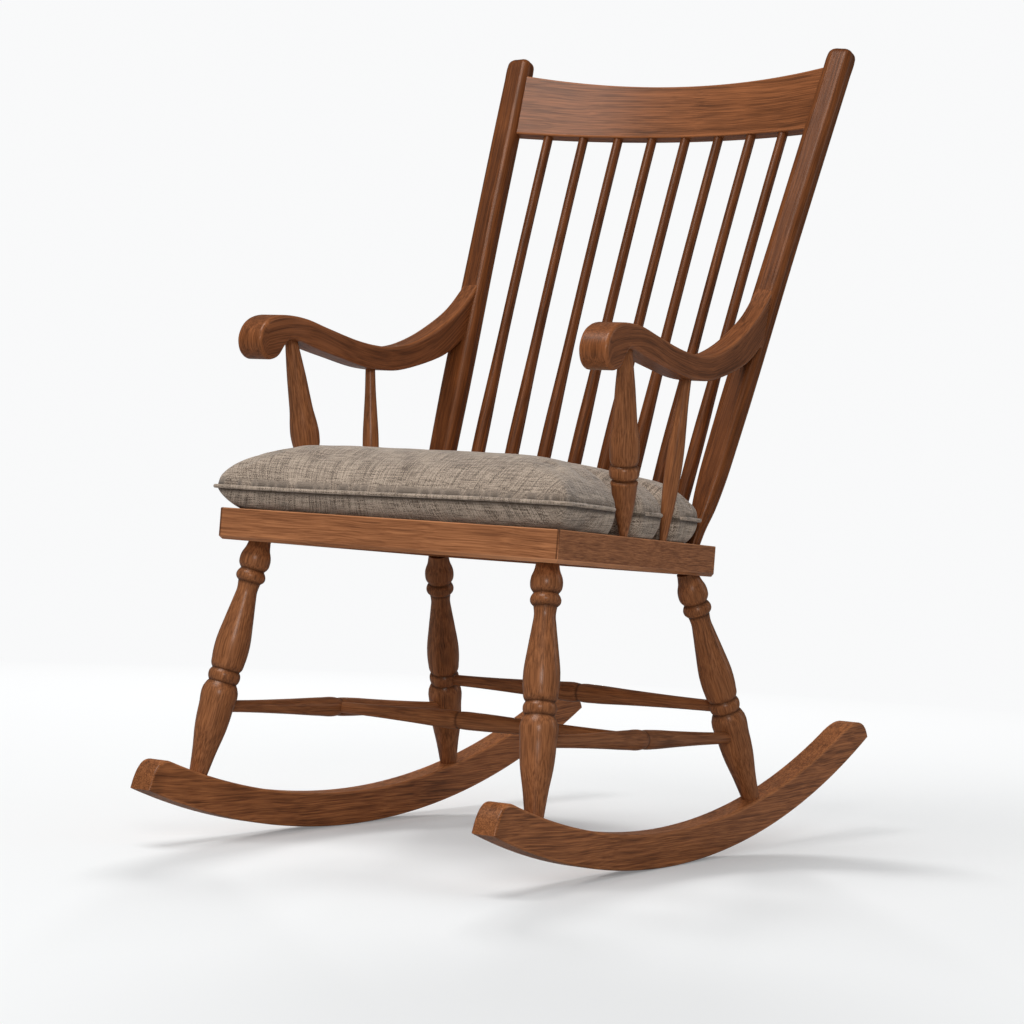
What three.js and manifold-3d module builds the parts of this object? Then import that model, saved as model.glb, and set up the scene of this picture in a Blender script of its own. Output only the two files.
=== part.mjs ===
// A rocking chair with a spindle back, scrolled arms, turned legs and a loose seat cushion.
// Millimetres, +Z up. The sitter faces -Y, and left and right are the sitter's own, so left is +X.
// Inside this file y is counted from the seat's front edge and z from the floor.
import * as THREE from "three";
import { mergeVertices } from "three/addons/utils/BufferGeometryUtils.js";
import Module from "manifold-3d";

const wasm = await Module();
wasm.setup();

const degree = Math.PI / 180;

// Fits
const gap = 0.3; // between any two pieces that meet
const weld = 0.001; // points closer than this are one point
const overrun = 6; // how far a cutter or a buried end runs past a face
const reach = 1600; // half-spaces are boxes of this size

// Seat: a frame of four rails round a let-in panel, with a block in each front corner
const seat = {
  height: 411, // floor to the top of the front edge
  slope: 1.6 * degree, // falls to the back
  frontWidth: 500,
  backWidth: 432,
  depth: 437,
  backBow: 22, // the back edge swells by this at its middle
  thickness: 39.5,
  railWidth: 23,
  backRailDepth: 52,
  ease: 1.6, // rounding of the top edges
  underChamfer: 4,
  panelThickness: 12,
  rabbet: 8,
  panelCorner: 20, // cut off the panel's back corners, in front of the stiles
  blockLeg: 84,
  dowelRadius: 4,
  dowelLength: 34,
  dowelInset: 9, // from the side face, at the back rail
  dowelDrop: 28.5, // below the top
};

// Rockers: a bar bent to an arc, rounded off at both ends
const rocker = {
  radius: 1243,
  depth: 44,
  width: 32.5,
  contactInset: 6.6, // of the bar's middle at the floor, inside the seat's front corner
  contactShare: 0.6133, // of the seat's depth
  toeIn: 0.96 * degree, // the back ends stand closer
  frontBeyond: 109.5, // past the front leg's foot
  backBeyond: 317, // past the back leg's foot
  noseRound: 26,
  tailRound: 80,
  heel: 5, // height of the flat part of each end
  ease: 2.4,
  facets: 20,
  rest: 1.2 * degree, // the drawn chair is tipped back by this to where it comes to rest
};

// Legs: one turned pattern, stretched to each leg's own length
const leg = {
  radius: 22,
  sides: 14,
  frontInset: 34, // of the leg's top, from the seat's side edge
  backInset: 24.7,
  frontSetback: 38, // from the seat's front edge
  backSetback: 28.5, // from the seat's back edge
  frontRake: 52.5, // how far the foot stands out past the top
  backRake: 121.5,
  headTenonRadius: 10,
  frontTenonLength: 20,
  backTenonLength: 16,
  footTenonRadius: 8.5,
  footTenonLength: 25,
  pinRadius: 2.5,
  pinPast: 2.5, // the far side of the tenon
  pinDepth: 13, // along the tenon, below the rocker's top face
};
// Share of the leg's length from its top, and share of its largest radius
const legShares = [
  [0, 0.62], [0.03, 0.7], [0.06, 0.85], [0.084, 0.885], [0.106, 0.83], [0.122, 0.675],
  [0.135, 0.79], [0.15, 0.845], [0.165, 0.78], [0.175, 0.64], [0.207, 0.59], [0.25, 0.655],
  [0.33, 0.81], [0.46, 1], [0.51, 0.96], [0.545, 0.865], [0.553, 0.79],
  [0.565, 0.89], [0.58, 0.92], [0.597, 0.87], [0.606, 0.8], [0.617, 0.9],
  [0.72, 0.98], [0.8, 0.91], [0.9, 0.69], [1, 0.515],
];

// Stretchers: each swells to a ridge and is grooved there
const stretcher = {
  endRadius: 7.2,
  sideRadius: 12.6,
  medialRadius: 12,
  backRadius: 13,
  tenonRadius: 5,
  tenonLength: 12,
  medialTenonRadius: 4,
  medialTenonLength: 7,
  sides: 12,
  frontShare: 0.7088, // of the leg's length from its top, where the side stretcher meets it
  backShare: 0.7283,
  rearShare: 0.589, // the same for the back stretcher
};
// Share of the length and share of the swell; the ridge is moved by ridgeShare
const stretcherShares = [
  [0, 0], [0.3, 0.16], [0.62, 0.55], [0.86, 0.93], [0.97, 1], [1, 0.8],
  [1.02, 0.9], [1.1, 0.92], [1.34, 0.58], [1.66, 0.2], [2, 0],
];
const middleShare = 0.5;
const shoulderShare = 0.9; // of the radius of the piece that a stretcher runs into
const medialRidgeShare = 0.42;

// Stiles: long posts of a rounded section that lean back and spread
const stile = {
  inset: 14.3, // of the foot, from the seat's side edge
  setback: 42, // from the seat's back edge
  spread: 50, // how far the top stands out past the foot
  lean: 238, // how far the top stands behind the foot
  rise: 668.5,
  width: 37,
  depth: 27,
  corner: 9.5,
  tenonRadius: 6.5,
  tenonLength: 14,
  bend: 2.5,
  steps: 15,
};
// Share of the stile's length, share of its width and share of its depth
const stileShares = [
  [0, 0.44, 0.6], [0.03, 0.52, 0.68], [0.07, 0.76, 0.88], [0.12, 0.92, 0.97], [0.2, 1, 1],
  [0.6, 0.98, 0.98], [0.95, 0.93, 0.95], [0.98, 0.87, 0.89], [0.993, 0.72, 0.74], [1, 0.46, 0.48],
];

// Crest rail: a bowed board let into the stiles
const crest = {
  bottomRise: 557, // up the stiles from the seat to the board's lower edge
  height: 91.5,
  thickness: 18,
  bow: 30.5,
  topDip: 8.6,
  bottomArch: 4.4,
  tongueThickness: 9,
  tongueDepth: 13,
  tongueShoulder: 15,
  segments: 14,
};

// Spindles
const spindle = {
  count: 8,
  footEndSpace: 42.6, // from the middle of the stile to that of the next spindle
  headEndSpace: 60.8,
  footSetback: 23, // from the back edge at its middle
  footBow: 35, // the row of feet falls forward by this at the stiles
  bellyRadius: 9.4,
  headRadius: 6.6,
  footRadius: 6.4,
  tenonRadius: 4.6,
  footTenonLength: 18,
  headTenonLength: 20,
  bend: 4,
  sides: 10,
};
// Share of the spindle's length, and share of the way from the head's radius to the belly's
const spindleShares = [
  [0.05, 0.4], [0.1, 0.8], [0.18, 1], [0.27, 0.9], [0.35, 0.58], [0.45, 0.26], [0.65, 0.08],
];

// Arms: an S-curved bar, scrolled at the front and lapped onto the stile
const arm = {
  tipOverhang: 4, // of its middle line, outside the seat's front corner
  tipSetback: 41, // from the seat's front edge
  base: 189.5, // from the seat's front edge up to the underside of the scroll
  endOut: 3.4, // of the arm's end, outside the middle of the stile
  endPast: 2, // behind the middle of the stile
  rise: 137,
  width: 39,
  rearWidth: 25,
  taperStart: 90,
  ease: 4.5,
  lapDepth: 9,
  outlineSteps: 46,
  screwRise: 87.5, // above the underside of the scroll
  screwRadius: 2.3,
  screwHeadRadius: 4.4,
  screwHeadDepth: 3,
  screwLength: 38,
  plugRadius: 5,
  plugDepth: 4,
};
// Share of the arm's length from the tip and share of its rise, from the lap round the scroll
const armTopShares = [
  [1, 1], [0.92, 0.73], [0.824, 0.525], [0.728, 0.372], [0.634, 0.277], [0.545, 0.255],
  [0.436, 0.281], [0.3, 0.358], [0.207, 0.416], [0.131, 0.431], [0.065, 0.409], [0.02, 0.328],
];
const armUnderShares = [
  [0, 0.19], [0.011, 0.06], [0.044, 0], [0.083, 0.036], [0.109, 0.139], [0.131, 0.204],
  [0.17, 0.208], [0.26, 0.146], [0.37, 0.088], [0.477, 0.036], [0.566, 0.026], [0.64, 0.044],
  [0.736, 0.117], [0.834, 0.219], [0.893, 0.314], [0.94, 0.42],
];

// Arm posts
const frontPost = {
  inset: 5, // of the foot, from the seat's side edge
  footShare: 0.405, // of the seat's depth, from its front edge
  headShare: 0.2838,
  radius: 18.7,
  tenonRadius: 3.8,
  tenonLength: 16,
  headTenonRadius: 5.5,
  headTenonLength: 15,
  sides: 12,
};
const frontPostShares = [
  [0, 0.25], [0.06, 0.42], [0.13, 0.6], [0.2, 0.74], [0.27, 0.84], [0.3, 0.86], [0.308, 0.76],
  [0.322, 0.92], [0.35, 0.99], [0.378, 0.92], [0.388, 0.83], [0.4, 0.9], [0.44, 0.98],
  [0.475, 1], [0.53, 0.95], [0.6, 0.83], [0.7, 0.74], [0.8, 0.66], [0.9, 0.55], [1, 0.43],
];
const rearPost = {
  inset: 4.7,
  footShare: 0.6568,
  headShare: 0.6613,
  radius: 10.8,
  tenonRadius: 3.2,
  tenonLength: 16,
  headTenonRadius: 4.6,
  headTenonLength: 14,
  sides: 10,
};
const rearPostShares = [
  [0, 0.41], [0.08, 0.57], [0.2, 0.77], [0.35, 0.94], [0.47, 1], [0.56, 0.98], [0.7, 0.84],
  [0.85, 0.68], [1, 0.6],
];

// Cushion: a crowned loose pad whose sides are let in round the arm posts
const cushion = {
  cornerOverhang: 8, // past the seat's front corners
  rearOverhang: 3.3, // past the seat's sides at the pad's back corners
  frontOverhang: 7,
  backSetback: 61, // of the back corners, from the seat's back edge
  backBow: 50,
  cornerRadius: 16,
  backCornerShare: 0.24, // of the bow, taken up in each back corner
  seamHeight: 26,
  crown: 69, // above the seam
  bottomInset: 19,
  notchClearance: 7.2, // between an arm post and the notch round it
  notchFade: 30,
  notchFadePower: 5,
  crownPower: 4,
  frontSteps: 7,
  cornerSteps: 3,
  sideSteps: 34,
  backSteps: 8,
};
// Share of the way from the middle to the edge, for the rings of the crowned top
const crownShares = [0.985, 0.94, 0.86, 0.72, 0.5, 0.25];
// Share of the bottom inset and share of the seam height, for the rings under the seam
const skirtShares = [
  [0.55, 0.12],
  [0.16, 0.45],
];

const wood = new THREE.MeshStandardMaterial({ color: 0x7a4526, roughness: 0.42, metalness: 0 });
const steel = new THREE.MeshStandardMaterial({ color: 0x9a9a96, roughness: 0.4, metalness: 0.9 });
const linen = new THREE.MeshStandardMaterial({ color: 0x968a7c, roughness: 0.95, metalness: 0 });

// Solids and frames

const point = (x, y, z) => new THREE.Vector3(x, y, z);

// A geometry as drawn has seams, and they are closed before it is bent or moved
function sealed(geometry) {
  geometry.deleteAttribute("normal");
  geometry.deleteAttribute("uv");
  return mergeVertices(geometry, weld);
}

function solidOf(geometry) {
  return new wasm.Manifold(
    new wasm.Mesh({
      numProp: 3,
      vertProperties: geometry.attributes.position.array,
      triVerts: new Uint32Array(geometry.index.array),
    }),
  );
}

function geometryOf(solid) {
  const mesh = solid.getMesh();
  const geometry = new THREE.BufferGeometry();
  geometry.setAttribute("position", new THREE.BufferAttribute(new Float32Array(mesh.vertProperties), 3));
  geometry.setIndex(new THREE.BufferAttribute(new Uint32Array(mesh.triVerts), 1));
  return geometry;
}

function mirrored(solid) {
  const geometry = geometryOf(solid).scale(-1, 1, 1);
  const index = geometry.index.array;
  for (let i = 0; i < index.length; i += 3) [index[i], index[i + 1]] = [index[i + 1], index[i]];
  return solidOf(geometry);
}

// The frame whose Z runs from one point to another, with its X level
function alongAxis(from, to) {
  const z = to.clone().sub(from).normalize();
  const isAcross = Math.abs(z.x) > Math.abs(z.y) + Math.abs(z.z);
  const near = isAcross ? point(0, 1, 0) : point(1, 0, 0);
  const x = near.clone().addScaledVector(z, -near.dot(z)).normalize();
  const y = z.clone().cross(x);
  return new THREE.Matrix4().makeBasis(x, y, z).setPosition(from);
}

// A box that fills everything on one side of a plane
function halfSpace(origin, normal) {
  const frame = alongAxis(origin, origin.clone().add(normal));
  const box = sealed(new THREE.BoxGeometry(reach, reach, reach));
  return solidOf(box.translate(0, 0, reach / 2).applyMatrix4(frame));
}

// A revolved outline of heights and radii, standing on Z
function turned(outline, sides) {
  const points = outline.map(([height, radius]) => new THREE.Vector2(radius, height));
  points.unshift(new THREE.Vector2(0, points[0].y));
  points.push(new THREE.Vector2(0, points.at(-1).y));
  return sealed(new THREE.LatheGeometry(points, sides)).rotateX(Math.PI / 2);
}

function peg(frame, start, length, radius, sides) {
  const body = sealed(new THREE.CylinderGeometry(radius, radius, length, sides));
  return solidOf(body.rotateX(Math.PI / 2).translate(0, 0, start + length / 2).applyMatrix4(frame));
}

// A shape drawn in X and Y, given a depth along Z
const extruded = (shape, depth, more = {}) =>
  sealed(new THREE.ExtrudeGeometry(shape, { bevelEnabled: false, depth, ...more }));

// An outline drawn in Y and Z, given its width along X
function sideCut(shape, width, ease) {
  const geometry = extruded(shape, width - 2 * ease, {
    bevelEnabled: true,
    bevelThickness: ease,
    bevelSize: ease,
    bevelOffset: -ease,
    bevelSegments: 1,
  });
  const upright = new THREE.Matrix4().makeBasis(point(0, 1, 0), point(0, 0, 1), point(1, 0, 0));
  return geometry.translate(0, 0, ease - width / 2).applyMatrix4(upright);
}

function reshape(geometry, rule) {
  const place = geometry.attributes.position;
  const p = new THREE.Vector3();
  for (let i = 0; i < place.count; i++) {
    rule(p.fromBufferAttribute(place, i));
    place.setXYZ(i, p.x, p.y, p.z);
  }
  return geometry;
}

// The value at a share along a table whose rows start with a share
function tableAt(rows, share, column) {
  const next = rows.findIndex((row) => row[0] >= share);
  if (next <= 0) return rows[Math.max(next, 0)][column];
  const [low, high] = [rows[next - 1], rows[next]];
  return THREE.MathUtils.lerp(low[column], high[column], (share - low[0]) / (high[0] - low[0]));
}

// The seat's own frame: origin at the middle of the front top edge, Z square to the seat
const seatFrame = new THREE.Matrix4().makeRotationX(-seat.slope).setPosition(0, 0, seat.height);
const seatUp = point(0, 0, 1).transformDirection(seatFrame);
const onSeat = (x, y, z = 0) => point(x, y, z).applyMatrix4(seatFrame);
const aboveSeat = (clearance) => halfSpace(onSeat(0, 0, clearance), seatUp);
const belowSeatTop = halfSpace(onSeat(0, 0, gap), seatUp.clone().negate());
const aboveSeatBottom = halfSpace(onSeat(0, 0, -seat.thickness - gap), seatUp);
const sideSlope = (seat.frontWidth - seat.backWidth) / 2 / seat.depth;
const sideEdge = (y) => seat.frontWidth / 2 - sideSlope * y;

// Rockers

const frontTop = { x: sideEdge(leg.frontSetback) - leg.frontInset, y: leg.frontSetback };
const backTopY = seat.depth - leg.backSetback;
const backTop = { x: sideEdge(backTopY) - leg.backInset, y: backTopY };
const frontFootY = frontTop.y - leg.frontRake;
const backFootY = backTop.y + leg.backRake;

const contactY = seat.depth * rocker.contactShare;
const rockerFrame = new THREE.Matrix4()
  .makeRotationZ(rocker.toeIn)
  .setPosition(seat.frontWidth / 2 - rocker.contactInset, contactY, 0);
const innerRadius = rocker.radius - rocker.depth;

// The angles of the rocker's two ends, from straight down at the drawn contact
const rockerAngles = () => [
  -Math.asin((contactY - frontFootY + rocker.frontBeyond) / rocker.radius),
  Math.asin((backFootY - contactY + rocker.backBeyond) / rocker.radius),
];

function rockerOutline(grow) {
  const [frontAngle, backAngle] = rockerAngles();
  const step = (backAngle - frontAngle) / rocker.facets;
  const at = (angle, radius) =>
    new THREE.Vector2(radius * Math.sin(angle), rocker.radius - radius * Math.cos(angle));
  const outer = rocker.radius + grow;
  const inner = innerRadius - grow;
  const points = [];
  // The facets are laid out so that one of them is flat on the floor
  const firstFacet = Math.ceil((frontAngle - rocker.rest) / step + 1);
  const lastFacet = Math.floor((backAngle - rocker.rest) / step - 1);
  points.push(at(frontAngle, outer));
  for (let k = firstFacet; k <= lastFacet; k++) {
    points.push(at(rocker.rest + (k - middleShare) * step, outer / Math.cos(step / 2)));
  }
  points.push(at(backAngle, outer));
  const tail = new THREE.QuadraticBezierCurve(
    at(backAngle, outer - rocker.heel),
    at(backAngle, inner),
    at(backAngle - rocker.tailRound / inner, inner),
  );
  points.push(...tail.getPoints(5));
  const innerFront = frontAngle + rocker.noseRound / inner;
  const innerBack = backAngle - rocker.tailRound / inner;
  for (let k = 1; k < rocker.facets; k++) {
    points.push(at(THREE.MathUtils.lerp(innerBack, innerFront, k / rocker.facets), inner));
  }
  const nose = new THREE.QuadraticBezierCurve(
    at(innerFront, inner),
    at(frontAngle, inner),
    at(frontAngle, outer - rocker.heel),
  );
  points.push(...nose.getPoints(6));
  return new THREE.Shape(points);
}

function rockerSolid(grow = 0) {
  const geometry = sideCut(rockerOutline(grow), rocker.width + 2 * grow, rocker.ease);
  return solidOf(geometry.applyMatrix4(rockerFrame));
}

// The point on the rocker's top face, at its middle, for a place along the rocker
function onRocker(y) {
  const along = (y - contactY) / Math.cos(rocker.toeIn);
  const top = rocker.radius - Math.sqrt(innerRadius ** 2 - along ** 2);
  return point(0, along, top).applyMatrix4(rockerFrame);
}

// Turned pieces, from a foot to a head, both on the faces where their shoulders seat

function turnedPiece({ foot, head, shares, radius, sides, tenons, fromHead = false }) {
  const frame = alongAxis(foot, head);
  const length = foot.distanceTo(head);
  const rows = fromHead ? shares.map(([s, r]) => [1 - s, r]).reverse() : shares;
  const outline = (grow) => [
    [-overrun, rows[0][1] * radius + grow],
    ...rows.map(([s, r]) => [s * length, r * radius + grow]),
    [length + overrun, rows.at(-1)[1] * radius + grow],
  ];
  const body = (grow = 0) => solidOf(turned(outline(grow), sides).applyMatrix4(frame));
  const [footTenon, headTenon] = tenons;
  const footPeg = (grow) =>
    peg(frame, -footTenon.length - grow, footTenon.length + grow + overrun, footTenon.radius + grow, 10);
  const headPeg = (grow) =>
    peg(frame, length - overrun, headTenon.length + grow + overrun, headTenon.radius + grow, 10);
  return { frame, length, body, footPeg, headPeg };
}

// A turned piece cut at its shoulders, with its tenons on
function finished(piece, cutters) {
  let solid = piece.body();
  for (const cutter of cutters) solid = solid.subtract(cutter);
  return solid.add(piece.footPeg(0)).add(piece.headPeg(0));
}

// Legs

function legPiece(top, footY, headLength) {
  return turnedPiece({
    foot: onRocker(footY),
    head: onSeat(top.x, top.y, -seat.thickness),
    shares: legShares,
    radius: leg.radius,
    sides: leg.sides,
    fromHead: true,
    tenons: [
      { length: leg.footTenonLength, radius: leg.footTenonRadius },
      { length: headLength, radius: leg.headTenonRadius },
    ],
  });
}

const frontLeg = legPiece(frontTop, frontFootY, leg.frontTenonLength);
const backLeg = legPiece(backTop, backFootY, leg.backTenonLength);

// The point on a leg's axis at a share of its length from its top
function onLeg(legPart, share) {
  return point(0, 0, legPart.length * (1 - share)).applyMatrix4(legPart.frame);
}

// A pin from the rocker's inner face through the middle of the leg's tenon
function rockerPin(legPart) {
  const start = point(0, 0, -leg.pinDepth)
    .applyMatrix4(legPart.frame)
    .applyMatrix4(rockerFrame.clone().invert())
    .setX(gap - rocker.width / 2)
    .applyMatrix4(rockerFrame);
  const frame = alongAxis(start, start.clone().add(point(1, 0, 0).transformDirection(rockerFrame)));
  const length = rocker.width / 2 + leg.footTenonRadius + leg.pinPast;
  return {
    frame,
    solid: peg(frame, 0, length, leg.pinRadius, 8),
    hole: peg(frame, -overrun, length + overrun + gap, leg.pinRadius + gap, 8),
  };
}

// Stretchers

function ridgeRows(length, radius, ridgeShare) {
  const swell = radius - stretcher.endRadius;
  return stretcherShares.map(([s, grow]) => {
    const share = s < 1 ? s * ridgeShare : ridgeShare + (s - 1) * (1 - ridgeShare);
    return [share * length, stretcher.endRadius + grow * swell];
  });
}

function stretcherPiece(from, to, radius, ridgeShare, tenon, tenonRadius) {
  const frame = alongAxis(from, to);
  const length = from.distanceTo(to);
  const body = (grow = 0) => {
    const rows = ridgeRows(length, radius, ridgeShare).map(([h, r]) => [h, r + grow]);
    return solidOf(turned(rows, stretcher.sides).applyMatrix4(frame));
  };
  return { frame, length, body, tenon, tenonRadius };
}

// The tenon that runs through a stretcher's end into the piece that it meets
function endPeg(piece, atStart, surface, grow) {
  const inward = surface - piece.tenon - grow;
  const total = piece.tenon + grow + 2 * overrun;
  const start = atStart ? inward : piece.length - inward - total;
  return peg(piece.frame, start, total, piece.tenonRadius + grow, 8);
}

const sideStretcher = stretcherPiece(
  onLeg(frontLeg, stretcher.frontShare),
  onLeg(backLeg, stretcher.backShare),
  stretcher.sideRadius,
  middleShare,
  stretcher.tenonLength,
  stretcher.tenonRadius,
);
const backEnd = onLeg(backLeg, stretcher.rearShare);
const backStretcher = stretcherPiece(
  backEnd.clone().multiply(point(-1, 1, 1)),
  backEnd,
  stretcher.backRadius,
  middleShare,
  stretcher.tenonLength,
  stretcher.tenonRadius,
);
const sideMiddle = point(0, 0, sideStretcher.length / 2).applyMatrix4(sideStretcher.frame);
const medialStretcher = stretcherPiece(
  sideMiddle.clone().multiply(point(-1, 1, 1)),
  sideMiddle,
  stretcher.medialRadius,
  medialRidgeShare,
  stretcher.medialTenonLength,
  stretcher.medialTenonRadius,
);
const legSurface = leg.radius * shoulderShare;
const sideSurface = stretcher.sideRadius * shoulderShare;

// Stiles

const stileFootY = seat.depth - stile.setback;
const stileFootX = sideEdge(stileFootY) - stile.inset;
const stileFoot = onSeat(stileFootX, stileFootY);
const stileHead = stileFoot.clone().add(point(stile.spread, stile.lean, stile.rise));
const stileFrame = alongAxis(stileFoot, stileHead);
const stileLength = stileFoot.distanceTo(stileHead);

function roundedRectangle(width, depth, corner) {
  const [x, y] = [width / 2, depth / 2];
  const shape = new THREE.Shape();
  shape.moveTo(x, y - corner);
  shape.absarc(x - corner, y - corner, corner, 0, 90 * degree, false);
  shape.absarc(corner - x, y - corner, corner, 90 * degree, 180 * degree, false);
  shape.absarc(corner - x, corner - y, corner, 180 * degree, 270 * degree, false);
  shape.absarc(x - corner, corner - y, corner, 270 * degree, 360 * degree, false);
  return shape;
}

function stileSolid(grow = 0) {
  const section = roundedRectangle(stile.width, stile.depth, stile.corner);
  const length = stileLength + overrun;
  const geometry = extruded(section, length, { steps: stile.steps, curveSegments: 2 });
  reshape(geometry, (p) => {
    // The steps are drawn together towards both ends, where the section changes
    const even = p.z / length;
    const drawn = (1 - Math.cos(even * Math.PI)) / 2;
    const height = drawn * length - overrun;
    const share = Math.max(height / stileLength, 0);
    const [width, depth] = [tableAt(stileShares, share, 1), tableAt(stileShares, share, 2)];
    p.x *= width + (2 * grow) / stile.width;
    p.y = p.y * (depth + (2 * grow) / stile.depth) - 4 * stile.bend * share * (1 - share);
    p.z = height;
  });
  return solidOf(geometry.applyMatrix4(stileFrame));
}

// The stile's foot tenon goes straight down into the seat
const stileFootFrame = alongAxis(stileFoot, stileFoot.clone().add(seatUp));
const stilePeg = (grow) => {
  const length = stile.tenonLength + grow + overrun / 2;
  return peg(stileFootFrame, -stile.tenonLength - grow, length, stile.tenonRadius + grow, 12);
};

// Crest rail, in a frame that leans with the stiles

const lean = Math.atan2(stile.lean, stile.rise);
const onStile = (up) => stileFoot.clone().lerp(stileHead, up / stile.rise);
const crestOrigin = onStile(crest.bottomRise).setX(0);
const crestHalf = onStile(crest.bottomRise).x;
const crestFrame = new THREE.Matrix4().makeRotationX(-lean).setPosition(crestOrigin);
const bowRadius = (crestHalf ** 2 + crest.bow ** 2) / (2 * crest.bow);
const bowAt = (x) => Math.sqrt(bowRadius ** 2 - x ** 2) - bowRadius + crest.bow;

// The bowed board: its plan is cut against its front view
function board(thickness, low, high, half, lowArch, highDip) {
  const plan = [];
  const front = [];
  for (let k = 0; k <= crest.segments; k++) {
    const x = THREE.MathUtils.lerp(-half, half, k / crest.segments);
    plan.push(new THREE.Vector2(x, bowAt(x) - thickness / 2));
    front.push(new THREE.Vector2(x, low + lowArch * (1 - (x / half) ** 2)));
  }
  for (let k = crest.segments; k >= 0; k--) {
    const x = THREE.MathUtils.lerp(-half, half, k / crest.segments);
    plan.push(new THREE.Vector2(x, bowAt(x) + thickness / 2));
    front.push(new THREE.Vector2(x, high - highDip * (1 - (x / half) ** 2)));
  }
  const planBody = extruded(new THREE.Shape(plan), crest.height + 2 * overrun).translate(0, 0, -overrun);
  const frontBody = extruded(new THREE.Shape(front), reach)
    .rotateX(Math.PI / 2)
    .translate(0, reach / 2, 0);
  const cut = solidOf(planBody).intersect(solidOf(frontBody));
  return solidOf(geometryOf(cut).applyMatrix4(crestFrame));
}

const crestBlank = (grow) =>
  board(crest.thickness + 2 * grow, -grow, crest.height + grow, crestHalf, crest.bottomArch, crest.topDip);
const tongue = (grow) => {
  const half = crestHalf - stile.width / 2 + crest.tongueDepth + grow;
  const low = crest.tongueShoulder - grow;
  const high = crest.height - crest.tongueShoulder + grow;
  return board(crest.tongueThickness + 2 * grow, low, high, half, 0, 0);
};

// Spindles

const footSpacing = (2 * (stileFootX - spindle.footEndSpace)) / (spindle.count - 1);
const headSpacing = (2 * (crestHalf - spindle.headEndSpace)) / (spindle.count - 1);
const spindleFootY = seat.depth + seat.backBow - spindle.footSetback;

function spindlePiece(place) {
  const x = place * footSpacing;
  const foot = onSeat(x, spindleFootY - spindle.footBow * (x / stileFootX) ** 2);
  const headX = place * headSpacing;
  const edge = crest.bottomArch * (1 - (headX / crestHalf) ** 2);
  const head = point(headX, bowAt(headX), edge).applyMatrix4(crestFrame);
  const frame = alongAxis(foot, head);
  const length = foot.distanceTo(head);
  const swell = spindle.bellyRadius - spindle.headRadius;
  const outline = [
    [-overrun, spindle.footRadius],
    [0, spindle.footRadius],
    ...spindleShares.map(([s, grow]) => [s * length, spindle.headRadius + grow * swell]),
    [length, spindle.headRadius],
    [length + overrun, spindle.headRadius],
  ];
  const geometry = turned(outline, spindle.sides);
  reshape(geometry, (p) => {
    const share = THREE.MathUtils.clamp(p.z / length, 0, 1);
    p.y -= 4 * spindle.bend * share * (1 - share);
  });
  const footPeg = (grow) =>
    peg(frame, -spindle.footTenonLength - grow, spindle.footTenonLength + grow + overrun,
      spindle.tenonRadius + grow, 8);
  const headPeg = (grow) =>
    peg(frame, length - overrun, spindle.headTenonLength + grow + overrun,
      spindle.tenonRadius + grow, 8);
  return { frame, length, body: () => solidOf(geometry.applyMatrix4(frame)), footPeg, headPeg };
}

const spindles = [];
for (let k = 0; k < spindle.count; k++) spindles.push(spindlePiece((spindle.count - 1) / 2 - k));

// Arms

const armTip = point(seat.frontWidth / 2 + arm.tipOverhang, arm.tipSetback, seat.height + arm.base);
const screwUp = armTip.z + arm.screwRise - stileFoot.z;
const armEnd = onStile(screwUp).add(point(arm.endOut, arm.endPast, 0));
const armLength = Math.hypot(armEnd.x - armTip.x, armEnd.y - armTip.y);
const armTurn = Math.atan2(armTip.x - armEnd.x, armEnd.y - armTip.y);
const armFrame = new THREE.Matrix4().makeRotationZ(armTurn).setPosition(armTip);

function armSolid(grow = 0) {
  const toPoint = ([s, r]) => new THREE.Vector2(s * armLength, r * arm.rise);
  const curve = new THREE.SplineCurve([...armTopShares, ...armUnderShares].map(toPoint));
  const outline = curve.getPoints(arm.outlineSteps);
  const [top, under] = [outline[0], outline.at(-1)];
  outline.push(new THREE.Vector2(under.x + arm.lapDepth, under.y));
  outline.push(new THREE.Vector2(top.x + arm.lapDepth, top.y));
  const geometry = sideCut(new THREE.Shape(outline), arm.width, arm.ease);
  reshape(geometry, (p) => {
    const back = THREE.MathUtils.clamp((p.y - arm.taperStart) / (armLength - arm.taperStart), 0, 1);
    p.x *= THREE.MathUtils.lerp(1, arm.rearWidth / arm.width, back) + (2 * grow) / arm.width;
    p.z += grow * Math.sign(p.z - tableAt(armMiddleShares, p.y / armLength, 1) * arm.rise);
  });
  return solidOf(geometry.applyMatrix4(armFrame));
}

// The line between the arm's top and its underside, as shares of its length and rise
const armMiddleShares = [
  [0, 0.2], [0.1, 0.28], [0.2, 0.31], [0.4, 0.19], [0.55, 0.14], [0.65, 0.17], [0.8, 0.34], [1, 0.85],
];

// The point on the arm's middle at a place along it, and its underside there
function underArm(y) {
  const along = (y - armTip.y) / Math.cos(armTurn);
  const rows = armUnderShares.slice(6);
  const height = tableAt(rows, along / armLength, 1) * arm.rise;
  return point(0, along, height).applyMatrix4(armFrame);
}

// Arm posts

function postPiece(post, shares) {
  const footY = seat.depth * post.footShare;
  return turnedPiece({
    foot: onSeat(sideEdge(footY) - post.inset, footY),
    head: underArm(seat.depth * post.headShare),
    shares,
    radius: post.radius,
    sides: post.sides,
    tenons: [
      { length: post.tenonLength, radius: post.tenonRadius },
      { length: post.headTenonLength, radius: post.headTenonRadius },
    ],
  });
}

const frontPostPart = postPiece(frontPost, frontPostShares);
const rearPostPart = postPiece(rearPost, rearPostShares);

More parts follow.
